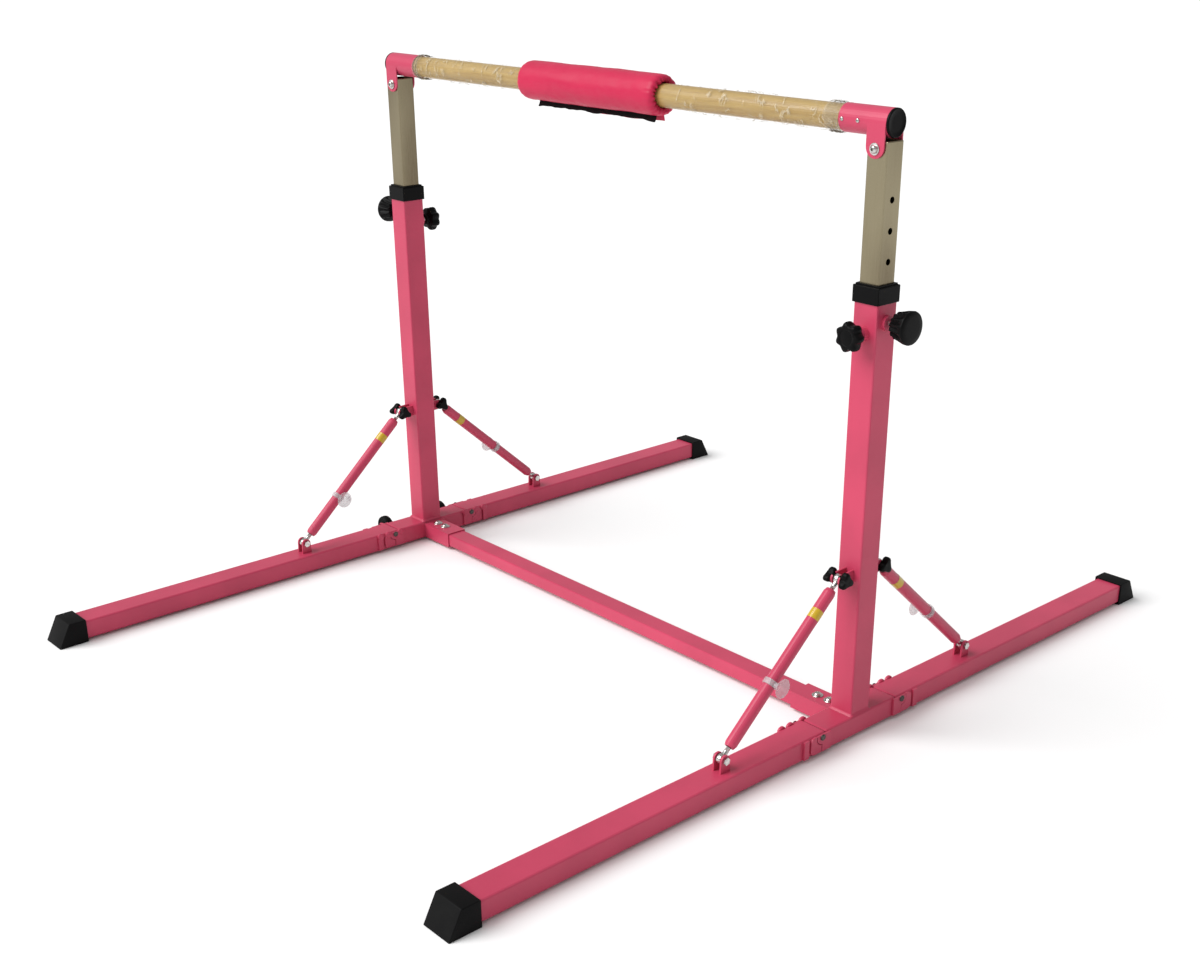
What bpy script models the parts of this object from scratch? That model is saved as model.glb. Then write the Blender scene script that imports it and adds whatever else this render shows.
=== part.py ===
"""A junior training bar for gymnastics: one wooden rail carried by two telescoping posts.

Each post stands on a short base tube. A folding leg is hinged to each end of the base, and a brace
runs from every leg to the post. A cross beam joins the two bases. The two side frames are the same
part, turned half round about the vertical axis.

Units are metres, +Z is up, X runs along the rail, and the origin is on the floor, midway between
the posts.
"""

import math

import bmesh
import bpy
from mathutils import Matrix, Vector

# ---------------------------------------------------------------- driving dimensions
GAP = 0.0003  # air between pieces that touch

POST_SPACING = 1.200
POST_WIDTH = 0.045
POST_WALL = 0.002
POST_TOP = 0.7317

BASE_WIDTH = 0.052
BASE_HEIGHT = 0.035
BASE_UNDER = 0.005  # air under the tubes, which stand on their feet
BASE_HALF = 0.087  # from the post's axis to the seam where a leg begins
TUBE_WALL = 0.0025

BEAM_WIDTH = 0.0398
BEAM_HEIGHT = 0.0254
BEAM_CENTRE = 0.0215
BEAM_HALF = 0.569
BEAM_WALL = 0.002
SOCKET_LENGTH = 0.110  # from the post's axis to the open end of the beam socket
SOCKET_WALL = 0.002

SEAM = 0.0018  # open seam between base and leg
PIVOT_OUT = 0.011  # hinge axis, outward from the end of the leg
PIVOT_DOWN = 0.0058  # hinge axis, below the top of the tube
CHEEK_THICKNESS = 0.0035
CHEEK_RADIUS = 0.012
HINGE_PIN_RADIUS = 0.003

LEG_END = 0.808  # all the Y values of a leg are from the post's axis
FOOT_INNER = 0.780
FOOT_OUTER_TOP = 0.813
FOOT_OUTER_BOTTOM = 0.8363
FOOT_HALF_WIDTH = 0.0295
FOOT_HEIGHT = 0.044

CLEVIS_OUT = 0.301
CLEVIS_HEIGHT = 0.060
BRACE_TOP_OUT = 0.048
BRACE_TOP_HEIGHT = 0.2853
BRACE_RADIUS = 0.010
BRACE_INSET = 0.0215  # from the pivot to the end of the brace tube
EAR_INSIDE = 0.0060
EAR_THICKNESS = 0.0032
EAR_RADIUS = 0.0092
BOLT_RADIUS = 0.004
EYE_RADIUS = 0.0085
EYE_HALF_WIDTH = 0.0055
SLOT_TILT = math.radians(75)  # the open way out of the post's ears, above the horizontal

INNER_WIDTH = 0.0365
INNER_WALL = 0.0015
INNER_TOP = 0.945
INNER_LENGTH = 0.700
HOLE_PITCH = 0.044
HOLE_RADIUS = 0.005
HOLES_UP = 4
HOLES_DOWN = 8
PLUNGER_HEIGHT = 0.6876
CLAMP_HEIGHT = 0.671
PULL_DATUM = 0.0145  # from the post's axis; the pull knob's lengths are measured from here
CLAMP_DATUM = 0.020  # the same for the clamp knob

RAIL_HEIGHT = 0.969
RAIL_RADIUS = 0.0185
RAIL_HALF = 0.606
SLEEVE_RADIUS = 0.0205
SLEEVE_INNER_END = 0.073  # from the post's axis towards the middle of the rail
SLEEVE_OUTER_END = 0.0145
SOCKET_EAR_HALF = 0.0165
SOCKET_EAR_SHIFT = -0.0025  # the ears and their bolt sit a little inward of the post's axis
PIVOT_BOLT_HEIGHT = 0.9335

PAD_RADIUS = 0.0352
PAD_LEFT = -0.203
PAD_RIGHT = 0.151
FLAP_LEFT = -0.167
FLAP_RIGHT = 0.130
FLAP_DROP = 0.0125
FLAP_THICKNESS = 0.003

WHEEL_RADIUS = 0.0215
WHEEL_WIDTH = 0.0172
WHEEL_OUT = 0.052  # axle, outward from the post's axis
WHEEL_ALONG = 0.07025  # middle of the wheel, along the base
WHEEL_HEIGHT = 0.0225

BASE_TOP = BASE_UNDER + BASE_HEIGHT
PIVOT_ALONG = BASE_HALF + SEAM + PIVOT_OUT
PIVOT_HEIGHT = BASE_TOP - PIVOT_DOWN
BRACE_LENGTH = math.hypot(CLEVIS_OUT - BRACE_TOP_OUT, BRACE_TOP_HEIGHT - CLEVIS_HEIGHT)
BRACE_RISE = math.atan2(BRACE_TOP_HEIGHT - CLEVIS_HEIGHT, CLEVIS_OUT - BRACE_TOP_OUT)

AXIS_TURNS = {
    "X": Matrix.Rotation(math.pi / 2, 4, "Y"),
    "Y": Matrix.Rotation(-math.pi / 2, 4, "X"),
    "Z": Matrix.Identity(4),
}


# ---------------------------------------------------------------- scene and materials
def clear_scene():
    for obj in list(bpy.data.objects):
        bpy.data.objects.remove(obj, do_unlink=True)


def new_collection(name):
    collection = bpy.data.collections.new(name)
    bpy.context.scene.collection.children.link(collection)
    return collection


def principled(name, colour, roughness, metallic=0.0):
    material = bpy.data.materials.new(name)
    material.use_nodes = True
    shader = material.node_tree.nodes["Principled BSDF"]
    shader.inputs["Base Color"].default_value = (*colour, 1.0)
    shader.inputs["Roughness"].default_value = roughness
    shader.inputs["Metallic"].default_value = metallic
    return material


# ---------------------------------------------------------------- working shapes
def helper(mesh):
    """A shape that only serves to make another: a cutter, or a lump to be joined on."""
    obj = bpy.data.objects.new(mesh.name, mesh)
    obj.hide_render = True
    obj.display_type = "WIRE"
    CUTTERS.objects.link(obj)
    return obj


def mesh_from(bm, name):
    bmesh.ops.recalc_face_normals(bm, faces=bm.faces)
    mesh = bpy.data.meshes.new(name)
    bm.to_mesh(mesh)
    bm.free()
    return mesh


def box(low, high):
    bm = bmesh.new()
    low, high = Vector(low), Vector(high)
    place = Matrix.Translation((low + high) / 2) @ Matrix.Diagonal((*(high - low), 1.0))
    bmesh.ops.create_cube(bm, size=1.0, matrix=place)
    return helper(mesh_from(bm, "box"))


def cylinder(axis, centre, radius, half_length, segments=16):
    bm = bmesh.new()
    bmesh.ops.create_cone(
        bm,
        cap_ends=True,
        segments=segments,
        radius1=radius,
        radius2=radius,
        depth=2 * half_length,
        matrix=Matrix.Translation(centre) @ AXIS_TURNS[axis],
    )
    return helper(mesh_from(bm, "cylinder"))


def turned(axis, centre, profile, steps=24):
    """A round piece: profile holds (radius, height) pairs that run from its top to its bottom."""
    mesh = bpy.data.meshes.new("profile")
    bm = bmesh.new()
    points = [bm.verts.new((radius, 0, height)) for radius, height in profile]
    for first, second in zip(points, points[1:]):
        bm.edges.new((first, second))
    bm.to_mesh(mesh)
    bm.free()
    obj = helper(mesh)
    screw = obj.modifiers.new("turn", "SCREW")
    screw.steps = steps
    screw.render_steps = steps
    screw.use_merge_vertices = True
    screw.merge_threshold = 0.00005
    shape = helper(evaluated_mesh(obj))
    bpy.data.objects.remove(obj)
    shape.data.transform(Matrix.Translation(centre) @ AXIS_TURNS[axis])
    return shape


def plate(axis, centre, outline, thickness):
    """A flat plate with the given outline, lying square to the axis."""
    curve = bpy.data.curves.new("outline", "CURVE")
    curve.dimensions = "2D"
    curve.fill_mode = "BOTH"
    curve.extrude = thickness / 2
    spline = curve.splines.new("POLY")
    spline.points.add(len(outline) - 1)
    spline.use_cyclic_u = True
    for point, (across, along) in zip(spline.points, outline):
        point.co = (across, along, 0.0, 1.0)
    obj = bpy.data.objects.new("outline", curve)
    CUTTERS.objects.link(obj)
    shape = helper(evaluated_mesh(obj))
    bpy.data.objects.remove(obj)
    weld(shape.data)
    shape.data.transform(Matrix.Translation(centre) @ PLATE_TURNS[axis])
    return shape


# A plate square to X has its outline in (Y, Z), and one square to Y in (X, Z).
PLATE_TURNS = {
    "X": Matrix(((0, 0, 1, 0), (1, 0, 0, 0), (0, 1, 0, 0), (0, 0, 0, 1))),
    "Y": Matrix(((1, 0, 0, 0), (0, 0, -1, 0), (0, 1, 0, 0), (0, 0, 0, 1))),
}


def weld(mesh):
    bm = bmesh.new()
    bm.from_mesh(mesh)
    bmesh.ops.remove_doubles(bm, verts=bm.verts, dist=0.00001)
    bmesh.ops.recalc_face_normals(bm, faces=bm.faces)
    bm.to_mesh(mesh)
    bm.free()


def tidy(mesh):
    """Weld what a Boolean left in pieces, and merge the flat faces that it split."""
    bm = bmesh.new()
    bm.from_mesh(mesh)
    bmesh.ops.remove_doubles(bm, verts=bm.verts, dist=0.00001)
    bmesh.ops.dissolve_limit(bm, angle_limit=math.radians(0.3), verts=bm.verts, edges=bm.edges)
    bmesh.ops.triangulate(bm, faces=bm.faces)
    bmesh.ops.recalc_face_normals(bm, faces=bm.faces)
    bm.to_mesh(mesh)
    bm.free()


def evaluated_mesh(obj):
    graph = bpy.context.evaluated_depsgraph_get()
    graph.update()
    return bpy.data.meshes.new_from_object(obj.evaluated_get(graph))


def solid(name, body, joins=(), cuts=(), bevel=0.0):
    """One mesh: the body with its edges eased, the joins welded on, and then the cuts taken out."""
    if bevel:
        ease = body.modifiers.new("ease", "BEVEL")
        ease.width = bevel
        ease.segments = 2
        ease.limit_method = "ANGLE"
    groups = []
    for operation, others in (("UNION", joins), ("DIFFERENCE", cuts)):
        if others:
            groups.append(new_group(others))
            step = body.modifiers.new(operation.lower(), "BOOLEAN")
            step.operation = operation
            step.operand_type = "COLLECTION"
            step.collection = groups[-1]
    mesh = evaluated_mesh(body)
    mesh.name = name
    tidy(mesh)
    mesh.shade_smooth()
    mesh.set_sharp_from_angle(angle=math.radians(35))
    for used in (body, *joins, *cuts):
        bpy.data.objects.remove(used)
    for group in groups:
        bpy.data.collections.remove(group)
    return mesh


def new_group(objects):
    """A collection inside the cutters', so that one Boolean takes all its shapes together."""
    group = bpy.data.collections.new("group")
    CUTTERS.children.link(group)
    for obj in objects:
        group.objects.link(obj)
    return group


def piece(name, mesh, material, parent=None, location=(0, 0, 0)):
    """One named part. Copies of a part share one mesh."""
    if not mesh.materials:
        mesh.materials.append(material)
    obj = bpy.data.objects.new(name, mesh)
    obj.parent = parent
    obj.location = location
    PARTS.objects.link(obj)
    return obj


def axis_empty(name, parent, location, rotation=(0, 0, 0)):
    empty = bpy.data.objects.new(name, None)
    empty.empty_display_size = 0.03
    empty.parent = parent
    empty.location = location
    empty.rotation_euler = rotation
    PARTS.objects.link(empty)
    return empty


def both(value):
    return (-value, value)


def arc(centre, radius, start, end, steps):
    """Points on an arc, angles in degrees."""
    angles = [math.radians(start + (end - start) * step / steps) for step in range(steps + 1)]
    return [(centre[0] + radius * math.cos(a), centre[1] + radius * math.sin(a)) for a in angles]


def lobed(radius, depth, lobes, points_each=8):
    """A star knob's outline: round lobes on a circle."""
    count = lobes * points_each
    outline = []
    for step in range(count):
        angle = 2 * math.pi * step / count
        reach = radius - depth * (0.5 - 0.5 * math.cos(lobes * angle))
        outline.append((reach * math.cos(angle), reach * math.sin(angle)))
    return outline


# ---------------------------------------------------------------- side frame
def box_between(start, end):
    """A box from two opposite corners, given in any order."""
    low = tuple(min(pair) for pair in zip(start, end))
    high = tuple(max(pair) for pair in zip(start, end))
    return box(low, high)


def cheek(side, end):
    """A hinge cheek on the base, with a round end about the hinge axis."""
    inner = BASE_WIDTH / 2 + GAP
    outer = inner + CHEEK_THICKNESS
    low, high = BASE_UNDER + 0.003, BASE_TOP - 0.0015
    start = BASE_HALF - 0.0075
    top_angle = math.degrees(math.asin((high - PIVOT_HEIGHT) / CHEEK_RADIUS))
    outline = arc((0, 0), CHEEK_RADIUS, top_angle, -180 - top_angle, 14)
    outline = [(end * across, along) for across, along in outline]
    middle = (side * (inner + outer) / 2, end * PIVOT_ALONG, PIVOT_HEIGHT)
    knuckle = plate("X", middle, outline, CHEEK_THICKNESS)
    strip = box_between((side * inner, end * start, low), (side * outer, end * PIVOT_ALONG, high))
    weld_pad = box_between(
        (side * (BASE_WIDTH / 2 - 0.001), end * start, low + 0.001),
        (side * (outer - 0.0008), end * (BASE_HALF - 0.0005), high - 0.001),
    )
    return [strip, weld_pad, knuckle]


def wheel_bracket(end):
    """Two lugs on the outer side of the base, which hold a wheel's axle between them."""
    lugs = []
    for offset in both(WHEEL_WIDTH / 2 + 0.0004 + 0.00125):
        outline = arc((WHEEL_OUT, WHEEL_HEIGHT), 0.0085, 90, -90, 10)
        root = BASE_WIDTH / 2 - 0.001
        outline += [(root, WHEEL_HEIGHT - 0.012), (root, WHEEL_HEIGHT + 0.012)]
        along = end * (WHEEL_ALONG + offset)
        lugs.append(plate("Y", (0, along, 0), outline, 0.0025))
    return lugs


def base_mesh(with_wheels):
    half = BASE_WIDTH / 2
    body = box((-half, -BASE_HALF, BASE_UNDER), (half, BASE_HALF, BASE_TOP))
    socket_half = BEAM_WIDTH / 2 + GAP + SOCKET_WALL
    bore_rise = BEAM_HEIGHT / 2 + GAP
    socket_rise = bore_rise + SOCKET_WALL
    joins = [
        box(
            (-SOCKET_LENGTH, -socket_half, BEAM_CENTRE - socket_rise),
            (-half + 0.001, socket_half, BEAM_CENTRE + socket_rise),
        )
    ]
    cuts = [
        box(
            (-half + TUBE_WALL, -1, BASE_UNDER + TUBE_WALL),
            (half - TUBE_WALL, 1, BASE_TOP - TUBE_WALL),
        ),
        box(
            (-SOCKET_LENGTH - 0.01, SOCKET_WALL - socket_half, BEAM_CENTRE - bore_rise),
            (-half - 0.002, socket_half - SOCKET_WALL, BEAM_CENTRE + bore_rise),
        ),
    ]
    for end in (-1, 1):
        for side in (-1, 1):
            joins += cheek(side, end)
        if with_wheels:
            joins += wheel_bracket(end)
            axle = cylinder("Y", (WHEEL_OUT, end * WHEEL_ALONG, WHEEL_HEIGHT), BOLT_RADIUS + GAP, 0.03)
            cuts.append(axle)
        hole = (0, end * PIVOT_ALONG, PIVOT_HEIGHT)
        cuts.append(cylinder("X", hole, HINGE_PIN_RADIUS + GAP, BASE_WIDTH, 16))
    return solid("base", body, joins, cuts, bevel=0.003)


def ear_outline(reach, root):
    """A lug that sticks out to a round end: (out, up) from its bolt's axis."""
    outline = arc((0, 0), reach, 90, -90, 12)
    return outline + [(root, -reach * 1.15), (root, reach * 1.15)]


def post_mesh():
    half = POST_WIDTH / 2
    body = box((-half, -half, BASE_TOP + GAP), (half, half, POST_TOP))
    bore = half - POST_WALL
    joins = [
        cylinder("X", (half + 0.0025, 0, PLUNGER_HEIGHT), 0.0115, 0.003),
        cylinder("Y", (0, -half - 0.0045, CLAMP_HEIGHT), 0.0105, 0.005),
    ]
    for end in (-1, 1):
        ear = ear_outline(EAR_RADIUS, half - 0.0005 - BRACE_TOP_OUT)
        outline = [(end * out, up) for out, up in ear]
        for side in both(EAR_INSIDE + EAR_THICKNESS / 2):
            place = (side, end * BRACE_TOP_OUT, BRACE_TOP_HEIGHT)
            joins.append(plate("X", place, outline, EAR_THICKNESS))
    cuts = [
        box((-bore, -bore, 0), (bore, bore, 1)),
        cylinder("X", (half + 0.005, 0, PLUNGER_HEIGHT), BOLT_RADIUS + GAP, 0.012),
        cylinder("Y", (0, -half - 0.005, CLAMP_HEIGHT), BOLT_RADIUS + GAP, 0.012),
    ]
    cuts += [ear_slot(end) for end in (-1, 1)]
    return solid("post", body, joins, cuts, bevel=0.0025)


def ear_slot(end):
    """The bolt's way out of the ears, upwards and a little outwards."""
    width = BOLT_RADIUS + 2 * GAP
    tilt = SLOT_TILT - math.pi / 2
    slot = arc((0, 0), width, 180, 360, 12) + [(width, 0.03), (-width, 0.03)]
    turned_slot = []
    for across, along in slot:
        out = across * math.cos(tilt) - along * math.sin(tilt)
        up = across * math.sin(tilt) + along * math.cos(tilt)
        turned_slot.append((end * out, up))
    return plate("X", (0, end * BRACE_TOP_OUT, BRACE_TOP_HEIGHT), turned_slot, 0.03)


def collar_mesh():
    skirt, lip = 0.0249, 0.0218
    fit = POST_WIDTH / 2 + GAP
    guide = INNER_WIDTH / 2 + GAP
    body = box((-skirt, -skirt, POST_TOP - 0.0165), (skirt, skirt, POST_TOP + 0.0093))
    rim = box((-lip, -lip, POST_TOP + 0.005), (lip, lip, POST_TOP + 0.0118))
    cuts = [
        box((-fit, -fit, 0), (fit, fit, POST_TOP + GAP)),
        box((-guide, -guide, 0), (guide, guide, 1)),
    ]
    return solid("collar", body, [rim], cuts, bevel=0.0012)


def plunger_mesh():
    """Sprung pin and bright stem, along X: the knob is pressed on its outer end."""
    face = PULL_DATUM
    start, shoulder, end = face + 0.0043, face + 0.0140, face + 0.034
    profile = [(0, end), (0.0045, end), (0.0045, face + 0.0245), (0.0062, face + 0.0245)]
    profile += [(0.0062, shoulder), (BOLT_RADIUS, shoulder), (BOLT_RADIUS, start + 0.001)]
    profile += [(0.003, start), (0, start)]
    return solid("plunger", turned("X", (0, 0, 0), profile, 16))


def pull_knob_mesh():
    """Fluted pull knob: a narrow grip behind a wide head, bored for the plunger's stem."""
    face = PULL_DATUM
    grip_start, head_start, end = face + 0.0250, face + 0.0375, face + 0.0570
    grip_middle = (grip_start + head_start) / 2
    grip = plate("X", (grip_middle, 0, 0), lobed(0.0205, 0.0022, 12, 4), head_start - grip_start)
    head_middle = (head_start - 0.001 + end) / 2
    head = plate("X", (head_middle, 0, 0), lobed(0.0254, 0.0014, 12, 4), end - head_start + 0.001)
    bore = cylinder("X", (face + 0.028, 0, 0), 0.0045 + GAP, 0.0065)
    return solid("pull_knob", head, [grip], [bore])


def clamp_knob_mesh():
    """Star knob on its stud, along Y: the stud runs through the boss to press on the inner tube."""
    face = CLAMP_DATUM
    head = plate("Y", (0, -face - 0.0345, 0), lobed(0.0232, 0.0048, 8, 6), 0.019)
    hub = cylinder("Y", (0, -face - 0.021, 0), 0.0105, 0.006)
    stud = cylinder("Y", (0, -face - 0.0106, 0), BOLT_RADIUS, 0.0118, 16)
    return solid("clamp_knob", head, [hub, stud])


# ---------------------------------------------------------------- leg and brace
def leg_mesh():
    """Folding leg. Its origin is on the hinge axis, and it points to -Y."""
    half = BASE_WIDTH / 2
    low, high = -BASE_HEIGHT + PIVOT_DOWN, PIVOT_DOWN
    body = box((-half, -LEG_END + PIVOT_ALONG, low), (half, PIVOT_OUT, high))
    joins = [leg_lug(side) for side in (-1, 1)]
    for side in (-1, 1):
        near, far = side * (half - 0.0005), side * (half + 0.004)
        joins.append(box((min(near, far), -0.0427, low + 0.002), (max(near, far), -0.0317, high - 0.0015)))
    clevis = (PIVOT_ALONG - CLEVIS_OUT, CLEVIS_HEIGHT - PIVOT_HEIGHT)
    for side in both(EAR_INSIDE + EAR_THICKNESS / 2):
        outline = arc((0, 0), EAR_RADIUS, 0, 180, 10)
        root = high - 0.0005 - clevis[1]
        outline += [(-EAR_RADIUS - 0.001, root), (EAR_RADIUS + 0.001, root)]
        joins.append(plate("X", (side, *clevis), outline, EAR_THICKNESS))
    cuts = [
        box((-half + TUBE_WALL, -1, low + TUBE_WALL), (half - TUBE_WALL, 1, high - TUBE_WALL)),
        cylinder("X", (0, 0, 0), HINGE_PIN_RADIUS + GAP, BASE_WIDTH, 16),
        cylinder("X", (0, *clevis), BOLT_RADIUS + GAP, 0.02, 16),
    ]
    return solid("leg", body, joins, cuts, bevel=0.003)


def leg_lug(side):
    """C-shaped lug on the leg, which curls round the end of the base's cheek."""
    radius = CHEEK_RADIUS + 0.0013
    low, high = -BASE_HEIGHT + PIVOT_DOWN + 0.003, PIVOT_DOWN - 0.0015
    near, far = -0.0012, -0.0267
    top_angle = math.degrees(math.asin(high / radius))
    bottom_angle = -math.degrees(math.acos(-near / radius))
    curl = arc((0, 0), radius, 180 - top_angle, 180 - bottom_angle, 8)
    outline = curl + [(near, low), *arc((far + 0.008, low + 0.008), 0.008, 270, 180, 3)]
    outline += arc((far + 0.008, high - 0.008), 0.008, 180, 90, 3)
    thickness = CHEEK_THICKNESS + 0.0005
    middle = side * (BASE_WIDTH / 2 - 0.0005 + thickness / 2)
    return plate("X", (middle, 0, 0), outline, thickness)


def foot_mesh():
    """Rubber foot, in the leg's frame: its outer end slopes out to the floor."""
    floor = -PIVOT_HEIGHT
    outer = -FOOT_OUTER_BOTTOM + PIVOT_ALONG
    mouth = PIVOT_ALONG - FOOT_INNER
    body = box((-FOOT_HALF_WIDTH, outer, floor), (FOOT_HALF_WIDTH, mouth, floor + FOOT_HEIGHT))
    for vertex in body.data.vertices:
        if vertex.co.z > floor + FOOT_HEIGHT / 2 and vertex.co.y < outer + 0.001:
            vertex.co.y += FOOT_OUTER_BOTTOM - FOOT_OUTER_TOP
    half = BASE_WIDTH / 2 + GAP
    pocket = box(
        (-half, -LEG_END + PIVOT_ALONG - GAP, -BASE_HEIGHT + PIVOT_DOWN - GAP),
        (half, 0, PIVOT_DOWN + GAP),
    )
    return solid("foot", body, cuts=[pocket], bevel=0.0015)


def hinge_pin_mesh():
    reach = BASE_WIDTH / 2 + CHEEK_THICKNESS + 2 * GAP
    head = reach + 0.0022
    profile = [(0, head), (0.0045, head), (0.0055, head - 0.001), (0.0055, reach)]
    profile.append((HINGE_PIN_RADIUS, reach))
    profile += [(radius, -height) for radius, height in reversed(profile)]
    return solid("hinge_pin", turned("X", (0, 0, 0), profile, 12))


def brace_tube_mesh():
    """Brace tube along Z from the leg's bolt, with both ends drawn in to hold the eye bolts."""
    low, high = BRACE_INSET, BRACE_LENGTH - BRACE_INSET
    neck, draw = 0.0080, 0.006
    profile = [(0, high), (neck, high), (BRACE_RADIUS, high - draw)]
    profile += [(BRACE_RADIUS, low + draw), (neck, low), (0, low)]
    bore = cylinder("Z", (0, 0, BRACE_LENGTH / 2), 0.006, BRACE_LENGTH, 16)
    return solid("brace_tube", turned("Z", (0, 0, 0), profile, 20), cuts=[bore])


def eye_bolt_mesh():
    """Eye bolt: the eye is square to X, and the shank runs up Z to the tube's end."""
    eye = cylinder("X", (0, 0, 0), EYE_RADIUS, EYE_HALF_WIDTH, 20)
    top = BRACE_INSET - GAP
    shank = cylinder("Z", (0, 0, (top + 0.006) / 2), 0.0040, (top - 0.006) / 2, 12)
    bore = cylinder("X", (0, 0, 0), BOLT_RADIUS + GAP, 0.02, 12)
    return solid("eye_bolt", eye, [shank], [bore])


def clevis_bolt_mesh():
    reach = EAR_INSIDE + EAR_THICKNESS + GAP
    shank = cylinder("X", (0, 0, 0), BOLT_RADIUS, reach + 0.001, 16)
    ends = [cylinder("X", (side, 0, 0), 0.0064, 0.0018, 6) for side in both(reach + 0.0018)]
    return solid("clevis_bolt", shank, ends)


def brace_knobs_mesh():
    """Bolt with a three-lobed knob on each end."""
    reach = EAR_INSIDE + EAR_THICKNESS + 2 * GAP
    shank = cylinder("X", (0, 0, 0), BOLT_RADIUS, reach + 0.002, 16)
    ends = []
    for side in (-1, 1):
        ends.append(plate("X", (side * (reach + 0.0062), 0, 0), lobed(0.0150, 0.0066, 3, 8), 0.011))
        ends.append(cylinder("X", (side * (reach + 0.0007), 0, 0), 0.0075, 0.0007, 12))
    return solid("brace_knobs", shank, ends)


# ---------------------------------------------------------------- rail assembly
def inner_tube_mesh():
    half = INNER_WIDTH / 2
    body = box((-half, -half, INNER_TOP - INNER_LENGTH), (half, half, INNER_TOP))
    bore = half - INNER_WALL
    cuts = [box((-bore, -bore, 0), (bore, bore, 1.5))]
    for step in range(-HOLES_DOWN, HOLES_UP + 1):
        height = PLUNGER_HEIGHT + step * HOLE_PITCH
        cuts.append(cylinder("X", (half, 0, height), HOLE_RADIUS, 0.006, 12))
    cuts.append(cylinder("Y", (SOCKET_EAR_SHIFT, 0, PIVOT_BOLT_HEIGHT), BOLT_RADIUS + GAP, 0.05, 12))
    return solid("inner_tube", body, cuts=cuts, bevel=0.002)


def bar_socket_mesh():
    """Sleeve that holds the rail, with an ear down each side of the inner tube."""
    middle = (SLEEVE_OUTER_END - SLEEVE_INNER_END) / 2
    length = SLEEVE_OUTER_END + SLEEVE_INNER_END
    body = cylinder("X", (middle, 0, RAIL_HEIGHT), SLEEVE_RADIUS, length / 2, 36)
    inner, outer = INNER_WIDTH / 2 + GAP, SLEEVE_RADIUS + 0.0002
    round_centre = 0.9365 - RAIL_HEIGHT
    joins = []
    for side in both((inner + outer) / 2):
        outline = arc((0, round_centre), SOCKET_EAR_HALF, 180, 360, 14)
        outline += [(SOCKET_EAR_HALF, 0.0), (-SOCKET_EAR_HALF, 0.0)]
        joins.append(plate("Y", (SOCKET_EAR_SHIFT, side, RAIL_HEIGHT), outline, outer - inner))
    bore = RAIL_RADIUS + GAP
    cuts = [
        cylinder("X", (middle, 0, RAIL_HEIGHT), bore, length, 36),
        cylinder("Y", (SOCKET_EAR_SHIFT, 0, PIVOT_BOLT_HEIGHT), BOLT_RADIUS + GAP, 0.05, 12),
    ]
    return solid("bar_socket", body, joins, cuts)


def end_cap_mesh():
    start = RAIL_HALF - POST_SPACING / 2 + GAP
    lip = SLEEVE_OUTER_END + GAP
    profile = [(0, lip + 0.0038), (0.019, lip + 0.0038), (SLEEVE_RADIUS, lip + 0.0025)]
    profile.append((SLEEVE_RADIUS, lip))
    profile += [(RAIL_RADIUS - 0.0002, lip), (RAIL_RADIUS - 0.0002, start), (0, start)]
    return solid("end_cap", turned("X", (0, 0, RAIL_HEIGHT), profile, 28))


def pivot_bolt_mesh():
    reach = SLEEVE_RADIUS + 0.0002 + GAP
    washer, head = reach + 0.0015, reach + 0.006
    profile = [(0, head), (0.003, head), (0.006, head - 0.0015), (0.007, washer)]
    profile += [(0.009, washer), (0.009, reach), (BOLT_RADIUS, reach)]
    profile += [(radius, -height) for radius, height in reversed(profile)]
    return solid("pivot_bolt", turned("Y", (0, 0, 0), profile, 16))


def rail_mesh():
    return solid("rail", cylinder("X", (0, 0, RAIL_HEIGHT), RAIL_RADIUS, RAIL_HALF, 36))


def pad_mesh():
    length = PAD_RIGHT - PAD_LEFT
    body = cylinder("X", (0, 0, 0), PAD_RADIUS, length / 2, 32)
    bore = cylinder("X", (0, 0, 0), RAIL_RADIUS + 2 * GAP, length, 36)
    return solid("pad", body, cuts=[bore], bevel=0.006)


def flap_mesh():
    half = (FLAP_RIGHT - FLAP_LEFT) / 2
    thick = FLAP_THICKNESS / 2
    return solid("flap", box((-half, -thick, -FLAP_DROP), (half, thick, 0)), bevel=0.0007)


def beam_mesh():
    half, rise = BEAM_WIDTH / 2, BEAM_HEIGHT / 2
    body = box((-BEAM_HALF, -half, BEAM_CENTRE - rise), (BEAM_HALF, half, BEAM_CENTRE + rise))
    bore, bore_rise = half - BEAM_WALL, rise - BEAM_WALL
    hollow = box((-1, -bore, BEAM_CENTRE - bore_rise), (1, bore, BEAM_CENTRE + bore_rise))
    return solid("beam", body, cuts=[hollow], bevel=0.0025)


def wheel_mesh():
    half, bore = WHEEL_WIDTH / 2, BOLT_RADIUS + GAP
    profile = [(bore, half - 0.002), (0.008, half), (0.017, half), (WHEEL_RADIUS, half - 0.004)]
    profile += [(radius, -height) for radius, height in reversed(profile)]
    profile.append(profile[0])
    return solid("wheel", turned("Y", (0, 0, 0), profile, 24))


def axle_mesh():
    reach = WHEEL_WIDTH / 2 + 0.0004 + 0.0025 + GAP
    shank = cylinder("Y", (0, 0, 0), BOLT_RADIUS, reach + 0.001, 16)
    ends = [cylinder("Y", (0, side, 0), 0.0068, 0.0017, 6) for side in both(reach + 0.0017)]
    return solid("wheel_axle", shank, ends)


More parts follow.
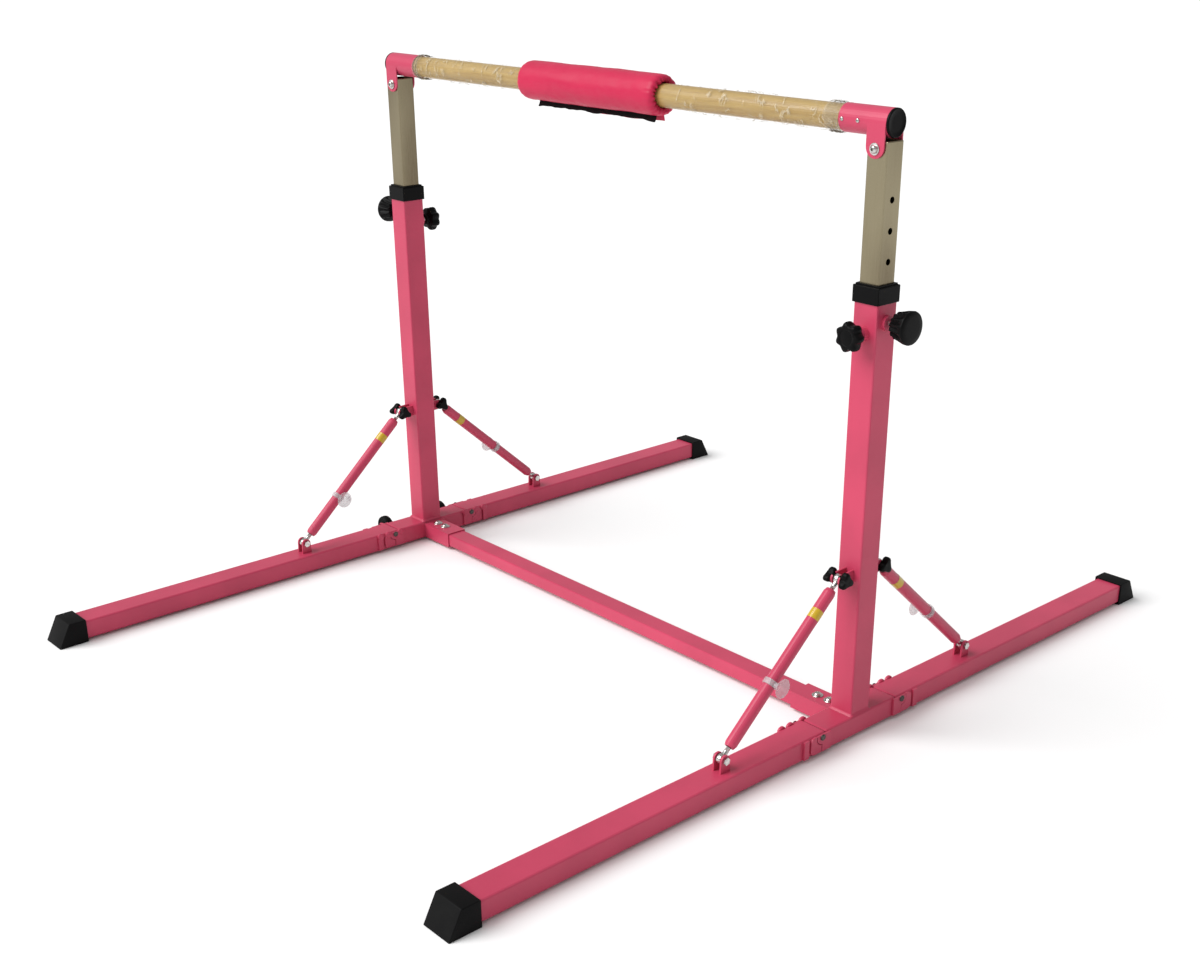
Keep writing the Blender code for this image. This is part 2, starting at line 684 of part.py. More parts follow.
# ---------------------------------------------------------------- assembly
def build_leg(meshes, side_empty, side_name, end):
    """One leg with its foot and brace. The end is -1 or +1 along the side frame's own Y."""
    world_end = end if side_name == "right" else -end
    label = f"{side_name}_{'front' if world_end < 0 else 'back'}"
    turn = 0.0 if end < 0 else math.pi
    hinge = axis_empty(f"hinge_{label}", side_empty, (0, end * PIVOT_ALONG, PIVOT_HEIGHT), (0, 0, turn))
    piece(f"leg_{label}", meshes["leg"], PAINT, hinge)
    piece(f"foot_{label}", meshes["foot"], RUBBER, hinge)
    piece(f"hinge_pin_{label}", meshes["hinge_pin"], STEEL, hinge)
    root = (0, PIVOT_ALONG - CLEVIS_OUT, CLEVIS_HEIGHT - PIVOT_HEIGHT)
    brace = axis_empty(f"brace_axis_{label}", hinge, root, (BRACE_RISE - math.pi / 2, 0, 0))
    top = axis_empty(f"brace_top_{label}", brace, (0, 0, BRACE_LENGTH), (math.pi, 0, 0))
    piece(f"brace_{label}", meshes["brace_tube"], PAINT, brace)
    piece(f"lower_eye_{label}", meshes["eye_bolt"], STEEL, brace)
    piece(f"upper_eye_{label}", meshes["eye_bolt"], STEEL, top)
    piece(f"leg_bolt_{label}", meshes["clevis_bolt"], STEEL, brace)
    piece(f"brace_knobs_{label}", meshes["brace_knobs"], PLASTIC, top)


def build_side(meshes, name, direction):
    """One side frame. The left one is the right one turned half round."""
    turn = 0.0 if direction > 0 else math.pi
    side = axis_empty(f"side_{name}", None, (direction * POST_SPACING / 2, 0, 0), (0, 0, turn))
    piece(f"base_{name}", meshes[f"base_{name}"], PAINT, side)
    piece(f"post_{name}", meshes["post"], PAINT, side)
    piece(f"collar_{name}", meshes["collar"], PLASTIC, side)
    piece(f"plunger_{name}", meshes["plunger"], STEEL, side, (0, 0, PLUNGER_HEIGHT))
    piece(f"pull_knob_{name}", meshes["pull_knob"], PLASTIC, side, (0, 0, PLUNGER_HEIGHT))
    piece(f"clamp_knob_{name}", meshes["clamp_knob"], PLASTIC, side, (0, 0, CLAMP_HEIGHT))
    piece(f"inner_tube_{name}", meshes["inner_tube"], STEEL, side)
    piece(f"bar_socket_{name}", meshes["bar_socket"], PAINT, side)
    piece(f"end_cap_{name}", meshes["end_cap"], PLASTIC, side)
    piece(f"pivot_bolt_{name}", meshes["pivot_bolt"], STEEL, side, (SOCKET_EAR_SHIFT, 0, PIVOT_BOLT_HEIGHT))
    for end in (-1, 1):
        build_leg(meshes, side, name, end)
    if name == "left":
        for end in (-1, 1):
            label = "back" if end < 0 else "front"
            place = (WHEEL_OUT, end * WHEEL_ALONG, WHEEL_HEIGHT)
            piece(f"wheel_{label}", meshes["wheel"], RUBBER, side, place)
            piece(f"wheel_axle_{label}", meshes["wheel_axle"], STEEL, side, place)


def build():
    meshes = {
        "base_right": base_mesh(with_wheels=False),
        "base_left": base_mesh(with_wheels=True),
        "post": post_mesh(),
        "collar": collar_mesh(),
        "plunger": plunger_mesh(),
        "pull_knob": pull_knob_mesh(),
        "clamp_knob": clamp_knob_mesh(),
        "leg": leg_mesh(),
        "foot": foot_mesh(),
        "hinge_pin": hinge_pin_mesh(),
        "brace_tube": brace_tube_mesh(),
        "eye_bolt": eye_bolt_mesh(),
        "clevis_bolt": clevis_bolt_mesh(),
        "brace_knobs": brace_knobs_mesh(),
        "inner_tube": inner_tube_mesh(),
        "bar_socket": bar_socket_mesh(),
        "end_cap": end_cap_mesh(),
        "pivot_bolt": pivot_bolt_mesh(),
        "wheel": wheel_mesh(),
        "wheel_axle": axle_mesh(),
    }
    build_side(meshes, "right", 1)
    build_side(meshes, "left", -1)
    piece("cross_beam", beam_mesh(), PAINT)
    piece("rail", rail_mesh(), WOOD)
    piece("bar_pad", pad_mesh(), FABRIC, location=((PAD_LEFT + PAD_RIGHT) / 2, 0, RAIL_HEIGHT))
    flap_place = ((FLAP_LEFT + FLAP_RIGHT) / 2, 0, RAIL_HEIGHT - PAD_RADIUS - GAP)
    piece("pad_flap", flap_mesh(), TAPE, location=flap_place)


clear_scene()
PARTS = new_collection("training_bar")
CUTTERS = new_collection("cutters")
CUTTERS.hide_render = True

PAINT = principled("pink_powder_coat", (0.70, 0.10, 0.17), 0.38)
STEEL = principled("bright_steel", (0.62, 0.60, 0.55), 0.28, 1.0)
PLASTIC = principled("black_plastic", (0.012, 0.012, 0.013), 0.5)
RUBBER = principled("black_rubber", (0.010, 0.010, 0.010), 0.8)
WOOD = principled("varnished_wood", (0.52, 0.36, 0.13), 0.35)
FABRIC = principled("pink_cover_cloth", (0.68, 0.035, 0.105), 0.6)
TAPE = principled("black_hook_and_loop", (0.010, 0.008, 0.009), 0.9)

build()
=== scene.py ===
# %% Load the frame
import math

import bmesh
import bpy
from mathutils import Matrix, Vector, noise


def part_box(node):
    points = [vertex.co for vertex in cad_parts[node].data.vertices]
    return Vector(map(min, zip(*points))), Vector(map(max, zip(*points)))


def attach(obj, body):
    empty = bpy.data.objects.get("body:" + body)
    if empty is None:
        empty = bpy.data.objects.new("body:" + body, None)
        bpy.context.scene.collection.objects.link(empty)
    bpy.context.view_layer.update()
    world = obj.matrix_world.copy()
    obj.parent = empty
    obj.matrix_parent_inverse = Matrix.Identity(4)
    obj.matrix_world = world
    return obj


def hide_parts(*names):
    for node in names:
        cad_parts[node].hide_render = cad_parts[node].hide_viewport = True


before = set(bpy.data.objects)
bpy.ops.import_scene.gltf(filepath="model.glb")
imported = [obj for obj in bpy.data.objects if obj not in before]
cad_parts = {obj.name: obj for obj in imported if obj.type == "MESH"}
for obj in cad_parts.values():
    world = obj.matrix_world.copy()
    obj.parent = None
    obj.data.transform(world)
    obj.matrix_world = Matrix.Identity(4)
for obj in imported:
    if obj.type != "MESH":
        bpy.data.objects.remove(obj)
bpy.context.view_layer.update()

# %% [markdown]
# # A junior training bar, finished for the camera
#
# The frame that was just loaded is the engineering model: pink tubes, a wooden rail, knobs and
# hinges, all at their real size. This lesson gives it its looks. Plain stand-ins are replaced by
# finer pieces, the padded cover is puffed up by a cloth simulation, and every surface gets a finish
# that is made of nodes. Nothing is moved or resized: each place is read from the frame.

# %% [markdown]
# ## Camera
#
# The bar is seen from in front and from the right, a little above the rail. The lens is a short
# telephoto. A camera could be aimed with a Track To constraint, but a matrix built from a heading, a
# downward tilt and a small roll says plainly how it stands. The shift frames the view without
# tilting the camera further, as a view camera does, so the posts lean exactly as much as they should.

# %% Place the camera
CAMERA_PLACE = Vector((2.0195, -1.7703, 1.2288))
HEADING = math.radians(46.87)  # from +Y towards -X
TILT = math.radians(-24.22)
ROLL = math.radians(0.32)
LENS = 46.07
SHIFT = (-0.0461, 0.0998)

lens = bpy.data.cameras.new("camera")
lens.sensor_width = 36.0
lens.lens = LENS
lens.shift_x, lens.shift_y = SHIFT
lens.clip_end = 50
camera = bpy.data.objects.new("camera", lens)
bpy.context.scene.collection.objects.link(camera)
turn = Matrix.Rotation(HEADING, 4, "Z") @ Matrix.Rotation(math.pi / 2 + TILT, 4, "X")
camera.matrix_world = Matrix.Translation(CAMERA_PLACE) @ turn @ Matrix.Rotation(ROLL, 4, "Z")
bpy.context.scene.camera = camera
print("camera at", tuple(round(v, 2) for v in CAMERA_PLACE), "with a", LENS, "mm lens")

# %% [markdown]
# ## Floor and light
#
# The floor is a plain sheet of white paper, large enough to reach the top of the picture. The light
# is a wide, soft sun from the front left: it makes the near faces of the posts bright and leaves the
# faces to the right in shade, and it lights all of the floor alike, which a softbox would not. A pale
# surround fills the shadows, and it is plain white where it is seen directly. The Standard view keeps
# the pink as saturated as the paint is. A filmic view would wash it out.


# %% Floor, sun and surround
FLOOR_HALF = 70.0


def make_floor():
    mesh = bpy.data.meshes.new("studio_floor")
    corners = [(x * FLOOR_HALF, y * FLOOR_HALF, 0) for x, y in ((-1, -1), (1, -1), (1, 1), (-1, 1))]
    mesh.from_pydata(corners, [], [(0, 1, 2, 3)])
    floor = bpy.data.objects.new("studio_floor", mesh)
    bpy.context.scene.collection.objects.link(floor)
    paper = bpy.data.materials.new("white_paper")
    paper.use_nodes = True
    surface = paper.node_tree.nodes["Principled BSDF"]
    surface.inputs["Base Color"].default_value = (0.95, 0.95, 0.95, 1)
    surface.inputs["Roughness"].default_value = 0.9
    surface.inputs["Specular IOR Level"].default_value = 0.1
    mesh.materials.append(paper)


def make_sun(towards, strength, softness):
    """A sun that shines along towards. Softness is its width, in degrees."""
    light = bpy.data.lights.new("soft_sun", "SUN")
    light.energy = strength
    light.angle = math.radians(softness)
    sun = bpy.data.objects.new("soft_sun", light)
    sun.rotation_euler = Vector(towards).to_track_quat("-Z", "Y").to_euler()
    bpy.context.scene.collection.objects.link(sun)


def make_surround(strength):
    """An even light from all round. A ray straight from the camera finds it at full white."""
    surround = bpy.data.worlds.new("white_surround")
    surround.use_nodes = True
    tree = surround.node_tree
    background = tree.nodes["Background"]
    background.inputs["Color"].default_value = (1.0, 1.0, 1.0, 1)
    path = tree.nodes.new("ShaderNodeLightPath")
    brighter = tree.nodes.new("ShaderNodeMath")
    brighter.operation = "MAXIMUM"
    brighter.inputs[1].default_value = strength
    tree.links.new(path.outputs["Is Camera Ray"], brighter.inputs[0])
    tree.links.new(brighter.outputs[0], background.inputs["Strength"])
    bpy.context.scene.world = surround


make_floor()
make_sun((0.34, 0.66, -0.67), 3.2, 48)
make_surround(0.48)
bpy.context.scene.view_settings.view_transform = "Standard"
print("a paper floor, a soft sun and a white surround")

# %% [markdown]
# ## Shader maths as plain Python
#
# Node links are hard to read when each is made by hand. The class below wraps one output socket, so
# that `1 - mask * 0.3` adds its Math nodes by itself. A `Finish` is one material: its `node` method
# adds any other node from its type, its settings and its inputs, and constants go directly on the
# shader's own sockets.


# %% Socket arithmetic
class Value:
    """An output socket that takes part in arithmetic."""

    def __init__(self, finish, socket):
        self.finish = finish
        self.socket = socket

    def maths(self, operation, *others):
        return self.finish.node("Math", {"operation": operation}, [self, *others])

    def __add__(self, other):
        return self.maths("ADD", other)

    def __mul__(self, other):
        return self.maths("MULTIPLY", other)

    def __sub__(self, other):
        return self.maths("SUBTRACT", other)

    def __rsub__(self, other):
        return self.finish.node("Math", {"operation": "SUBTRACT"}, [other, self])

    __radd__, __rmul__ = __add__, __mul__

    def between(self, low, high):
        """0 below low and 1 above high, with a soft step between them."""
        limits = {"From Min": low, "From Max": high, "Value": self}
        return self.finish.node("MapRange", {"interpolation_type": "SMOOTHSTEP"}, limits)


# %% One class for a finish
class Finish:
    """A material, and the nodes that make its surface."""

    made = {}

    def __init__(self, name, colour, roughness, metallic=0.0, **constants):
        self.material = bpy.data.materials.new(name)
        self.material.use_nodes = True
        self.tree = self.material.node_tree
        self.shader = self.tree.nodes["Principled BSDF"]
        self.shader.inputs["Base Color"].default_value = (*colour, 1)
        self.shader.inputs["Roughness"].default_value = roughness
        self.shader.inputs["Metallic"].default_value = metallic
        for socket, value in constants.items():
            self.shader.inputs[socket.replace("_", " ")].default_value = value
        Finish.made[name] = self

    def node(self, kind, settings=None, inputs=(), output=0):
        """A node by its type, with its settings, then its inputs, by position or by name."""
        made = self.tree.nodes.new("ShaderNode" + kind)
        for setting, value in (settings or {}).items():
            setattr(made, setting, value)
        pairs = inputs.items() if isinstance(inputs, dict) else enumerate(inputs)
        for key, value in pairs:
            self.join(made.inputs[key], value)
        return Value(self, made.outputs[output])

    def join(self, socket, value):
        if isinstance(value, Value):
            self.tree.links.new(value.socket, socket)
        elif isinstance(value, tuple) and len(value) == 3 and socket.type == "RGBA":
            socket.default_value = (*value, 1)
        else:
            socket.default_value = value

    def place(self, scale=(1, 1, 1)):
        """Positions in the object's own metres. A small scale stretches a texture that way."""
        position = self.node("TexCoord", output="Object")
        return self.node("Mapping", None, {"Vector": position, "Scale": scale})

    def cloud(self, scale, where=None, detail=3.0, rough=0.5):
        """Noise from 0 to 1, with about scale patches to a metre."""
        where = where or self.place()
        settings = {"Vector": where, "Scale": scale, "Detail": detail, "Roughness": rough}
        return self.node("TexNoise", None, settings)

    def mix(self, factor, first, second):
        """A mix of two colours. The Mix node's colour sockets are its seventh and eighth."""
        blend = {"Factor": factor, 6: first, 7: second}
        return self.node("Mix", {"data_type": "RGBA"}, blend, output=2)

    def set(self, socket, value):
        self.join(self.shader.inputs[socket], value)

    def bump(self, height, distance, strength):
        """Relief that is as deep as distance, in metres."""
        relief = {"Height": height, "Distance": distance, "Strength": strength}
        self.set("Normal", self.node("Bump", None, relief))


# %% [markdown]
# ## Powder coat
#
# Powder coat is sprayed dry and melted on, so it has a fine pebbled skin, the orange peel, and a
# gloss that is soft rather than mirror-like. The pink is one colour, slightly thicker and deeper in
# patches. The peel is a small bump from noise about 2 mm across, and the roughness wanders with it.


# %% Pink powder coat
def shaded(colour, factor):
    return tuple(channel * factor for channel in colour)


PINK = (0.52, 0.050, 0.108)


def powder_coat(name, colour):
    paint = Finish(name, colour, 0.36, Specular_IOR_Level=0.28, Coat_Weight=0.05, Coat_Roughness=0.25)
    patches = paint.cloud(9.0, detail=4.0).between(0.35, 0.7)
    paint.set("Base Color", paint.mix(patches, shaded(colour, 0.93), shaded(colour, 1.04)))
    peel = paint.cloud(620.0, detail=2.0)
    specks = paint.cloud(2600.0, detail=0.0).between(0.66, 0.8)
    paint.set("Roughness", 0.30 + peel * 0.10 + specks * 0.10)
    paint.bump(peel + specks * 0.3, 0.00012, 0.5)


powder_coat("pink_powder_coat", PINK)
print("finishes so far:", list(Finish.made))

# %% [markdown]
# ## Metals
#
# The inner tubes are brushed stainless steel: the brushing runs along the tube, so the noise is
# stretched a hundred times in that direction. Bolts, washers and eyes are bright zinc or chrome, and
# the hinge pins are darker, oiled steel.


# %% Brushed, bright and dark steel
def brushed_steel(name):
    steel = Finish(name, (0.25, 0.21, 0.14), 0.30, 1.0)
    strokes = steel.cloud(60.0, steel.place((28, 28, 0.5)), detail=4.0, rough=0.65)
    smears = steel.cloud(7.0, steel.place((1, 1, 0.35)), detail=2.0)
    shade = steel.mix(smears.between(0.35, 0.65), (0.13, 0.100, 0.060), (0.29, 0.250, 0.160))
    steel.set("Base Color", steel.mix(strokes.between(0.3, 0.7) * 0.25, shade, (0.38, 0.33, 0.235)))
    steel.set("Roughness", 0.20 + strokes * 0.20)
    steel.bump(strokes, 0.00003, 0.35)


def plated_steel(name, light, dark, roughness):
    steel = Finish(name, light, roughness, 1.0)
    bloom = steel.cloud(240.0, detail=4.0).between(0.35, 0.75)
    steel.set("Base Color", steel.mix(bloom, light, dark))
    steel.set("Roughness", roughness + bloom * 0.14)
    steel.bump(steel.cloud(1500.0, detail=2.0), 0.00002, 0.4)


brushed_steel("brushed_stainless")
plated_steel("bright_plating", (0.66, 0.65, 0.63), (0.40, 0.39, 0.37), 0.14)
plated_steel("dark_steel", (0.10, 0.095, 0.09), (0.045, 0.04, 0.04), 0.35)

# %% [markdown]
# ## Black plastic and rubber
#
# Moulded nylon knobs and collars have a fine spark-eroded texture and catch a soft grey light on
# their edges. The feet and wheels are rubber: duller, with a dusty bloom in patches.


# %% Moulded plastic and rubber
def moulded(name, colour, roughness, grain, depth, dust):
    skin = Finish(name, colour, roughness, Specular_IOR_Level=0.08)
    pits = skin.cloud(grain, detail=3.0, rough=0.6)
    bloom = skin.cloud(26.0, detail=5.0, rough=0.65).between(0.5, 0.82)
    skin.set("Base Color", skin.mix(bloom * dust, colour, (0.11, 0.108, 0.10)))
    skin.set("Roughness", roughness - 0.06 + pits * 0.12 + bloom * 0.08)
    skin.bump(pits, depth, 0.6)


moulded("black_plastic", (0.0026, 0.0026, 0.0028), 0.40, 1300.0, 0.00008, 0.015)
moulded("black_rubber", (0.0036, 0.0036, 0.0038), 0.55, 700.0, 0.00014, 0.035)

# %% [markdown]
# ## Varnished wood
#
# The rail is pale hardwood turned to a rod. Its grain runs along the rail: bands from a noise
# stretched along X, finer dark pores in short strokes, and a clear varnish as a coat over it.


# %% Rail wood
def varnished_wood(name):
    wood = Finish(name, (0.42, 0.30, 0.13), 0.38, Coat_Weight=0.3, Coat_Roughness=0.14)
    rings = wood.cloud(34.0, wood.place((0.12, 2.4, 2.4)), detail=5.0, rough=0.6)
    fibres = wood.cloud(90.0, wood.place((0.05, 6.0, 6.0)), detail=3.0)
    pores = wood.cloud(150.0, wood.place((0.16, 7.0, 7.0)), detail=1.0).between(0.62, 0.72)
    base = wood.mix(rings.between(0.32, 0.68), (0.31, 0.190, 0.048), (0.42, 0.280, 0.085))
    base = wood.mix(fibres.between(0.4, 0.7) * 0.35, base, (0.46, 0.325, 0.12))
    wood.set("Base Color", wood.mix(pores * 0.6, base, (0.24, 0.130, 0.035)))
    wood.set("Roughness", 0.36 + fibres * 0.12)
    wood.bump(fibres * 0.5 - pores, 0.00008, 0.5)


varnished_wood("varnished_wood")

# %% [markdown]
# ## Cover cloth, hook-and-loop, wrapping film and vinyl
#
# The pad's cover is coated cloth: a tight basket weave under a smooth pink skin. Two wave textures
# that cross make the threads. Hook-and-loop tape is matt black fuzz. The wrapping film is thin
# and clear, so it mostly shows as short bright creases. These are painted highlights: the film is
# made more opaque along its sharpest ridges. The suction cups are thicker, cloudy vinyl, with the
# same painted highlights.


# %% Soft and clear finishes
def coated_cloth(name, colour):
    cloth = Finish(name, colour, 0.44, Specular_IOR_Level=0.22)
    threads = [
        cloth.node("TexWave", {"bands_direction": bands}, {"Vector": cloth.place(), "Scale": scale})
        for bands, scale in (("X", 380.0), ("DIAGONAL", 300.0))
    ]
    weave = threads[0] * 0.5 + threads[1] * 0.5
    wear = cloth.cloud(14.0, detail=5.0).between(0.4, 0.75)
    cloth.set("Base Color", cloth.mix(wear, shaded(colour, 0.95), shaded(colour, 1.05)))
    cloth.set("Roughness", 0.36 + wear * 0.08 + weave * 0.06)
    crinkle = cloth.cloud(85.0, detail=4.0, rough=0.55)
    cloth.bump(crinkle * 0.8 + weave * 0.2, 0.0005, 0.4)


def fuzzy_tape(name):
    tape = Finish(name, (0.006, 0.005, 0.005), 0.9, Specular_IOR_Level=0.1)
    fuzz = tape.cloud(900.0, detail=4.0, rough=0.7)
    tape.set("Base Color", tape.mix(fuzz, (0.002, 0.0015, 0.0017), (0.014, 0.010, 0.011)))
    tape.bump(fuzz, 0.0006, 0.8)


def clear_film(name, tint, opacity, crease_scale, roughness):
    film = Finish(name, tint, roughness, Specular_IOR_Level=0.4)
    creases = film.cloud(crease_scale, film.place((1.6, 0.7, 0.7)), detail=3.0, rough=0.5)
    ridges = 1 - (creases * 2 - 1).maths("ABSOLUTE")
    # painted highlights: along the sharpest ridges the film turns more opaque, so its pale tint shows as
    # short bright streaks in place of glints
    painted_glint = ridges.between(0.93, 0.99) * film.cloud(38.0, detail=1.0).between(0.50, 0.60)
    film.set("Alpha", opacity + painted_glint * 0.34)
    film.set("Roughness", roughness + creases * 0.12)
    film.bump(ridges, 0.0012, 0.7)


def label_film(name):
    label = Finish(name, (0.50, 0.36, 0.015), 0.3, Coat_Weight=0.3, Coat_Roughness=0.1)
    scuffs = label.cloud(320.0, detail=4.0).between(0.55, 0.75)
    label.set("Base Color", label.mix(scuffs * 0.35, (0.52, 0.34, 0.008), (0.36, 0.23, 0.012)))
    label.bump(scuffs, 0.00003, 0.4)


coated_cloth("pink_cover_cloth", (0.53, 0.018, 0.070))
fuzzy_tape("hook_and_loop")
clear_film("wrapping_film", (0.62, 0.55, 0.40), 0.03, 44.0, 0.08)
clear_film("gathered_film", (0.58, 0.52, 0.42), 0.12, 75.0, 0.10)
clear_film("clear_vinyl", (0.60, 0.54, 0.56), 0.40, 20.0, 0.12)
label_film("yellow_label")
print(len(Finish.made), "finishes")

# %% [markdown]
# ## Finishes on the frame's own parts
#
# Tubes, pins and posts already have their true shape, so they only need a finish. A name's first
# words say what a part is. Flat faces stay flat and round ones are smoothed: an edge stays sharp
# where its faces meet at more than 32 degrees.

# %% Dress the frame
PAINTED = ("base", "post", "leg", "brace", "cross_beam", "bar_socket")
PLATED = ("leg_bolt", "plunger", "wheel_axle")
FINISH_OF = {
    **dict.fromkeys(PAINTED, "pink_powder_coat"),
    **dict.fromkeys(PLATED, "bright_plating"),
    "collar": "black_plastic",
    "inner_tube": "brushed_stainless",
    "hinge_pin": "dark_steel",
    "rail": "varnished_wood",
}
SHARP = math.radians(32)


def finish_for(node_name):
    fits = [start for start in FINISH_OF if node_name.startswith(start)]
    return FINISH_OF[max(fits, key=len)] if fits else None


for node_name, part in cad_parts.items():
    finish_name = finish_for(node_name)
    if finish_name is None or node_name.startswith("brace_knobs"):
        continue
    part.data.materials.clear()
    part.data.materials.append(Finish.made[finish_name].material)
    part.data.shade_smooth()
    part.data.set_sharp_from_angle(angle=SHARP)
print("dressed", sum(finish_for(name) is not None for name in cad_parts), "parts")

# %% [markdown]
# ## Making pieces from stacked sections
#
# Most of what follows is one idea. A piece is a stack of closed outlines, joined by faces: circles
# make a turned knob, and a star makes a lobed one. A Screw modifier would do the round ones, but a
# stack also allows outlines that change from step to step.


# %% Sections and lofts
def ring(radius, height, count=48, waves=0, depth=0.0, phase=0.0):
    """A circle, or a star with round lobes when waves is set, at one height along local Z."""
    points = []
    for step in range(count):
        angle = 2 * math.pi * step / count
        reach = radius - depth * (0.5 - 0.5 * math.cos(waves * angle + phase))
        points.append(Vector((reach * math.cos(angle), reach * math.sin(angle), height)))
    return points


def hexagon(radius, height, count=48):
    """A hexagon with as many points as a ring, so that the two can be joined."""
    points = []
    for step in range(count):
        angle = 2 * math.pi * step / count
        within = (angle % (math.pi / 3)) - math.pi / 6
        reach = radius * math.cos(math.pi / 6) / math.cos(within)
        points.append(Vector((reach * math.cos(angle), reach * math.sin(angle), height)))
    return points


def loft(body, sections, place=Matrix.Identity(4), closed=False, caps=True):
    """Joins a stack of outlines into a skin, moved to its place."""
    rings = [[body.verts.new(place @ point) for point in section] for section in sections]
    pairs = list(zip(rings, rings[1:])) + ([(rings[-1], rings[0])] if closed else [])
    for lower, upper in pairs:
        for step in range(len(lower)):
            after = (step + 1) % len(lower)
            body.faces.new((lower[step], lower[after], upper[after], upper[step]))
    if caps and not closed:
        body.faces.new(rings[0])
        body.faces.new(rings[-1])
    return rings


def turned(profile, count=48, **star):
    return [ring(radius, height, count, **star) for radius, height in profile]


def threads(radius, depth, start, half_pitch, points):
    """The zigzag side of a screw thread."""
    return [(radius - depth * (step % 2), start + step * half_pitch) for step in range(points)]


# %% Give a piece its body and finish
SLOT_OF = {
    "pink_powder_coat": "pink_paint",
    "bright_plating": "bright_steel",
    "dark_steel": "bright_steel",
    "black_plastic": "black_plastic",
    "black_rubber": "black_rubber",
    "pink_cover_cloth": "pink_cover_cloth",
    "hook_and_loop": "black_hook_and_loop",
}


def piece(name, body, finish, rides_on, replaces=(), sharp=40):
    """Turns the working mesh into a piece that rides on a body of the frame."""
    bmesh.ops.recalc_face_normals(body, faces=body.faces)
    mesh = bpy.data.meshes.new(name)
    body.to_mesh(mesh)
    body.free()
    mesh.materials.append(Finish.made[finish].material)
    mesh.shade_smooth()
    mesh.set_sharp_from_angle(angle=math.radians(sharp))
    made = bpy.data.objects.new(name, mesh)
    bpy.context.scene.collection.objects.link(made)
    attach(made, rides_on)
    finish in SLOT_OF
    if replaces:
        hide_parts(*replaces)
    return made


# %% [markdown]
# ## Places on the frame
#
# The two side frames are the same part, the left one turned half round. So one matrix for each side
# is enough, and each piece is described once, in the side frame's own directions: local X outward,
# local Y along the base. Round pieces are turned about local Z, and these matrices tip that axis.

# %% Side frames and their axes
QUARTER = math.pi / 2
TO_X, TO_MINUS_X = (Matrix.Rotation(angle, 4, "Y") for angle in (QUARTER, -QUARTER))
TO_Y, TO_MINUS_Y = (Matrix.Rotation(angle, 4, "X") for angle in (-QUARTER, QUARTER))


def middle(node):
    """The middle of a part's box."""
    low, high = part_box(node)
    return (low + high) / 2


def extent(node):
    """The size of a part's box."""
    low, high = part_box(node)
    return high - low


def at(x, y, z):
    return Matrix.Translation((x, y, z))


SIDES = {}
for side in ("right", "left"):
    half_turn = Matrix.Identity(4) if side == "right" else Matrix.Rotation(math.pi, 4, "Z")
    SIDES[side] = at(middle(f"inner_tube_{side}").x, 0, 0) @ half_turn
POST_AXIS = SIDES["right"].translation.x
ENDS = {"right": {"front": -1, "back": 1}, "left": {"front": 1, "back": -1}}
LABELS = [(side, end) for side in SIDES for end in ENDS[side]]


def local(side, point):
    """A point of the frame, in the side's own directions."""
    return SIDES[side].inverted() @ point


print("side frames at x =", [round(place.translation.x, 3) for place in SIDES.values()])

# %% [markdown]
# ## Pull knobs
#
# A pull knob is gripped by its fluted waist and drawn outward to lift the locking pin. It is moulded
# in one: a narrow neck, fourteen flutes that fade out, and a wide smooth face with a soft edge.

# %% Fluted pull knobs
FLUTES = 14


def pull_knob(side):
    node = f"pull_knob_{side}"
    outer = max(abs(v.x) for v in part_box(node)) - POST_AXIS
    length, radius = extent(node).x, extent(node).z / 2
    shape = [
        (0.24, 0.00, 0.0), (0.40, 0.00, 0.0), (0.56, 0.03, 0.1), (0.74, 0.08, 0.6), (0.80, 0.14, 1.0),
        (0.83, 0.28, 1.0), (0.88, 0.44, 1.0), (0.93, 0.58, 1.0), (0.975, 0.70, 0.9), (0.995, 0.78, 0.6),
        (1.00, 0.84, 0.15), (1.00, 0.90, 0.0), (0.975, 0.95, 0.0), (0.90, 0.985, 0.0), (0.62, 0.998, 0.0),
        (0.25, 1.00, 0.0),
    ]
    sections = [
        ring(radius * wide, length * along, 112, FLUTES, 0.0036 * deep) for wide, along, deep in shape
    ]
    body = bmesh.new()
    place = SIDES[side] @ at(outer - length, 0, middle(node).z) @ TO_X
    loft(body, sections, place)
    return piece(node + "_grip", body, "black_plastic", f"pull_pin_{side}", [node])


for side in SIDES:
    made = pull_knob(side)
    print(made.name, len(made.data.vertices), "points")

# %% [markdown]
# ## Star knobs
#
# The clamp knob presses its stud on the inner tube to stop it rattling. It has seven round lobes and
# a slightly domed face with a raised ring. Its stud is a bright threaded rod.

# %% Star knobs and their studs
LOBES = 7


def star_knob(side):
    node = f"clamp_knob_{side}"
    outer = max(abs(v.y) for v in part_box(node))
    radius = extent(node).x / 2
    length = 0.019
    place = SIDES[side] @ at(0, -outer + length, middle(node).z) @ TO_MINUS_Y
    shape = [
        (0.42, -0.0075, 0.0), (0.46, -0.007, 0.0), (0.47, -0.001, 0.0), (0.60, 0.0, 0.1),
        (0.90, 0.0012, 0.8), (0.97, 0.0035, 1.0), (1.0, 0.007, 1.0), (1.0, 0.0125, 1.0),
        (0.965, 0.0158, 1.0), (0.88, 0.0178, 0.8), (0.70, 0.0186, 0.2), (0.52, 0.0186, 0.0),
        (0.49, 0.0181, 0.0), (0.30, 0.0186, 0.0), (0.12, 0.0190, 0.0),
    ]
    sections = [ring(radius * wide, along, 98, LOBES, 0.0044 * deep) for wide, along, deep in shape]
    body = bmesh.new()
    loft(body, sections, place)
    knob = piece(f"star_knob_{side}", body, "black_plastic", f"clamp_knob_{side}", [node])
    stud = bmesh.new()
    profile = threads(0.0040, 0.0005, -0.0196, 0.0006, 21) + [(0.0040, -0.006)]
    loft(stud, turned(profile, 24), place)
    piece(f"clamp_stud_{side}", stud, "bright_plating", f"clamp_knob_{side}")
    return knob


for side in SIDES:
    print(star_knob(side).name, "on", side)

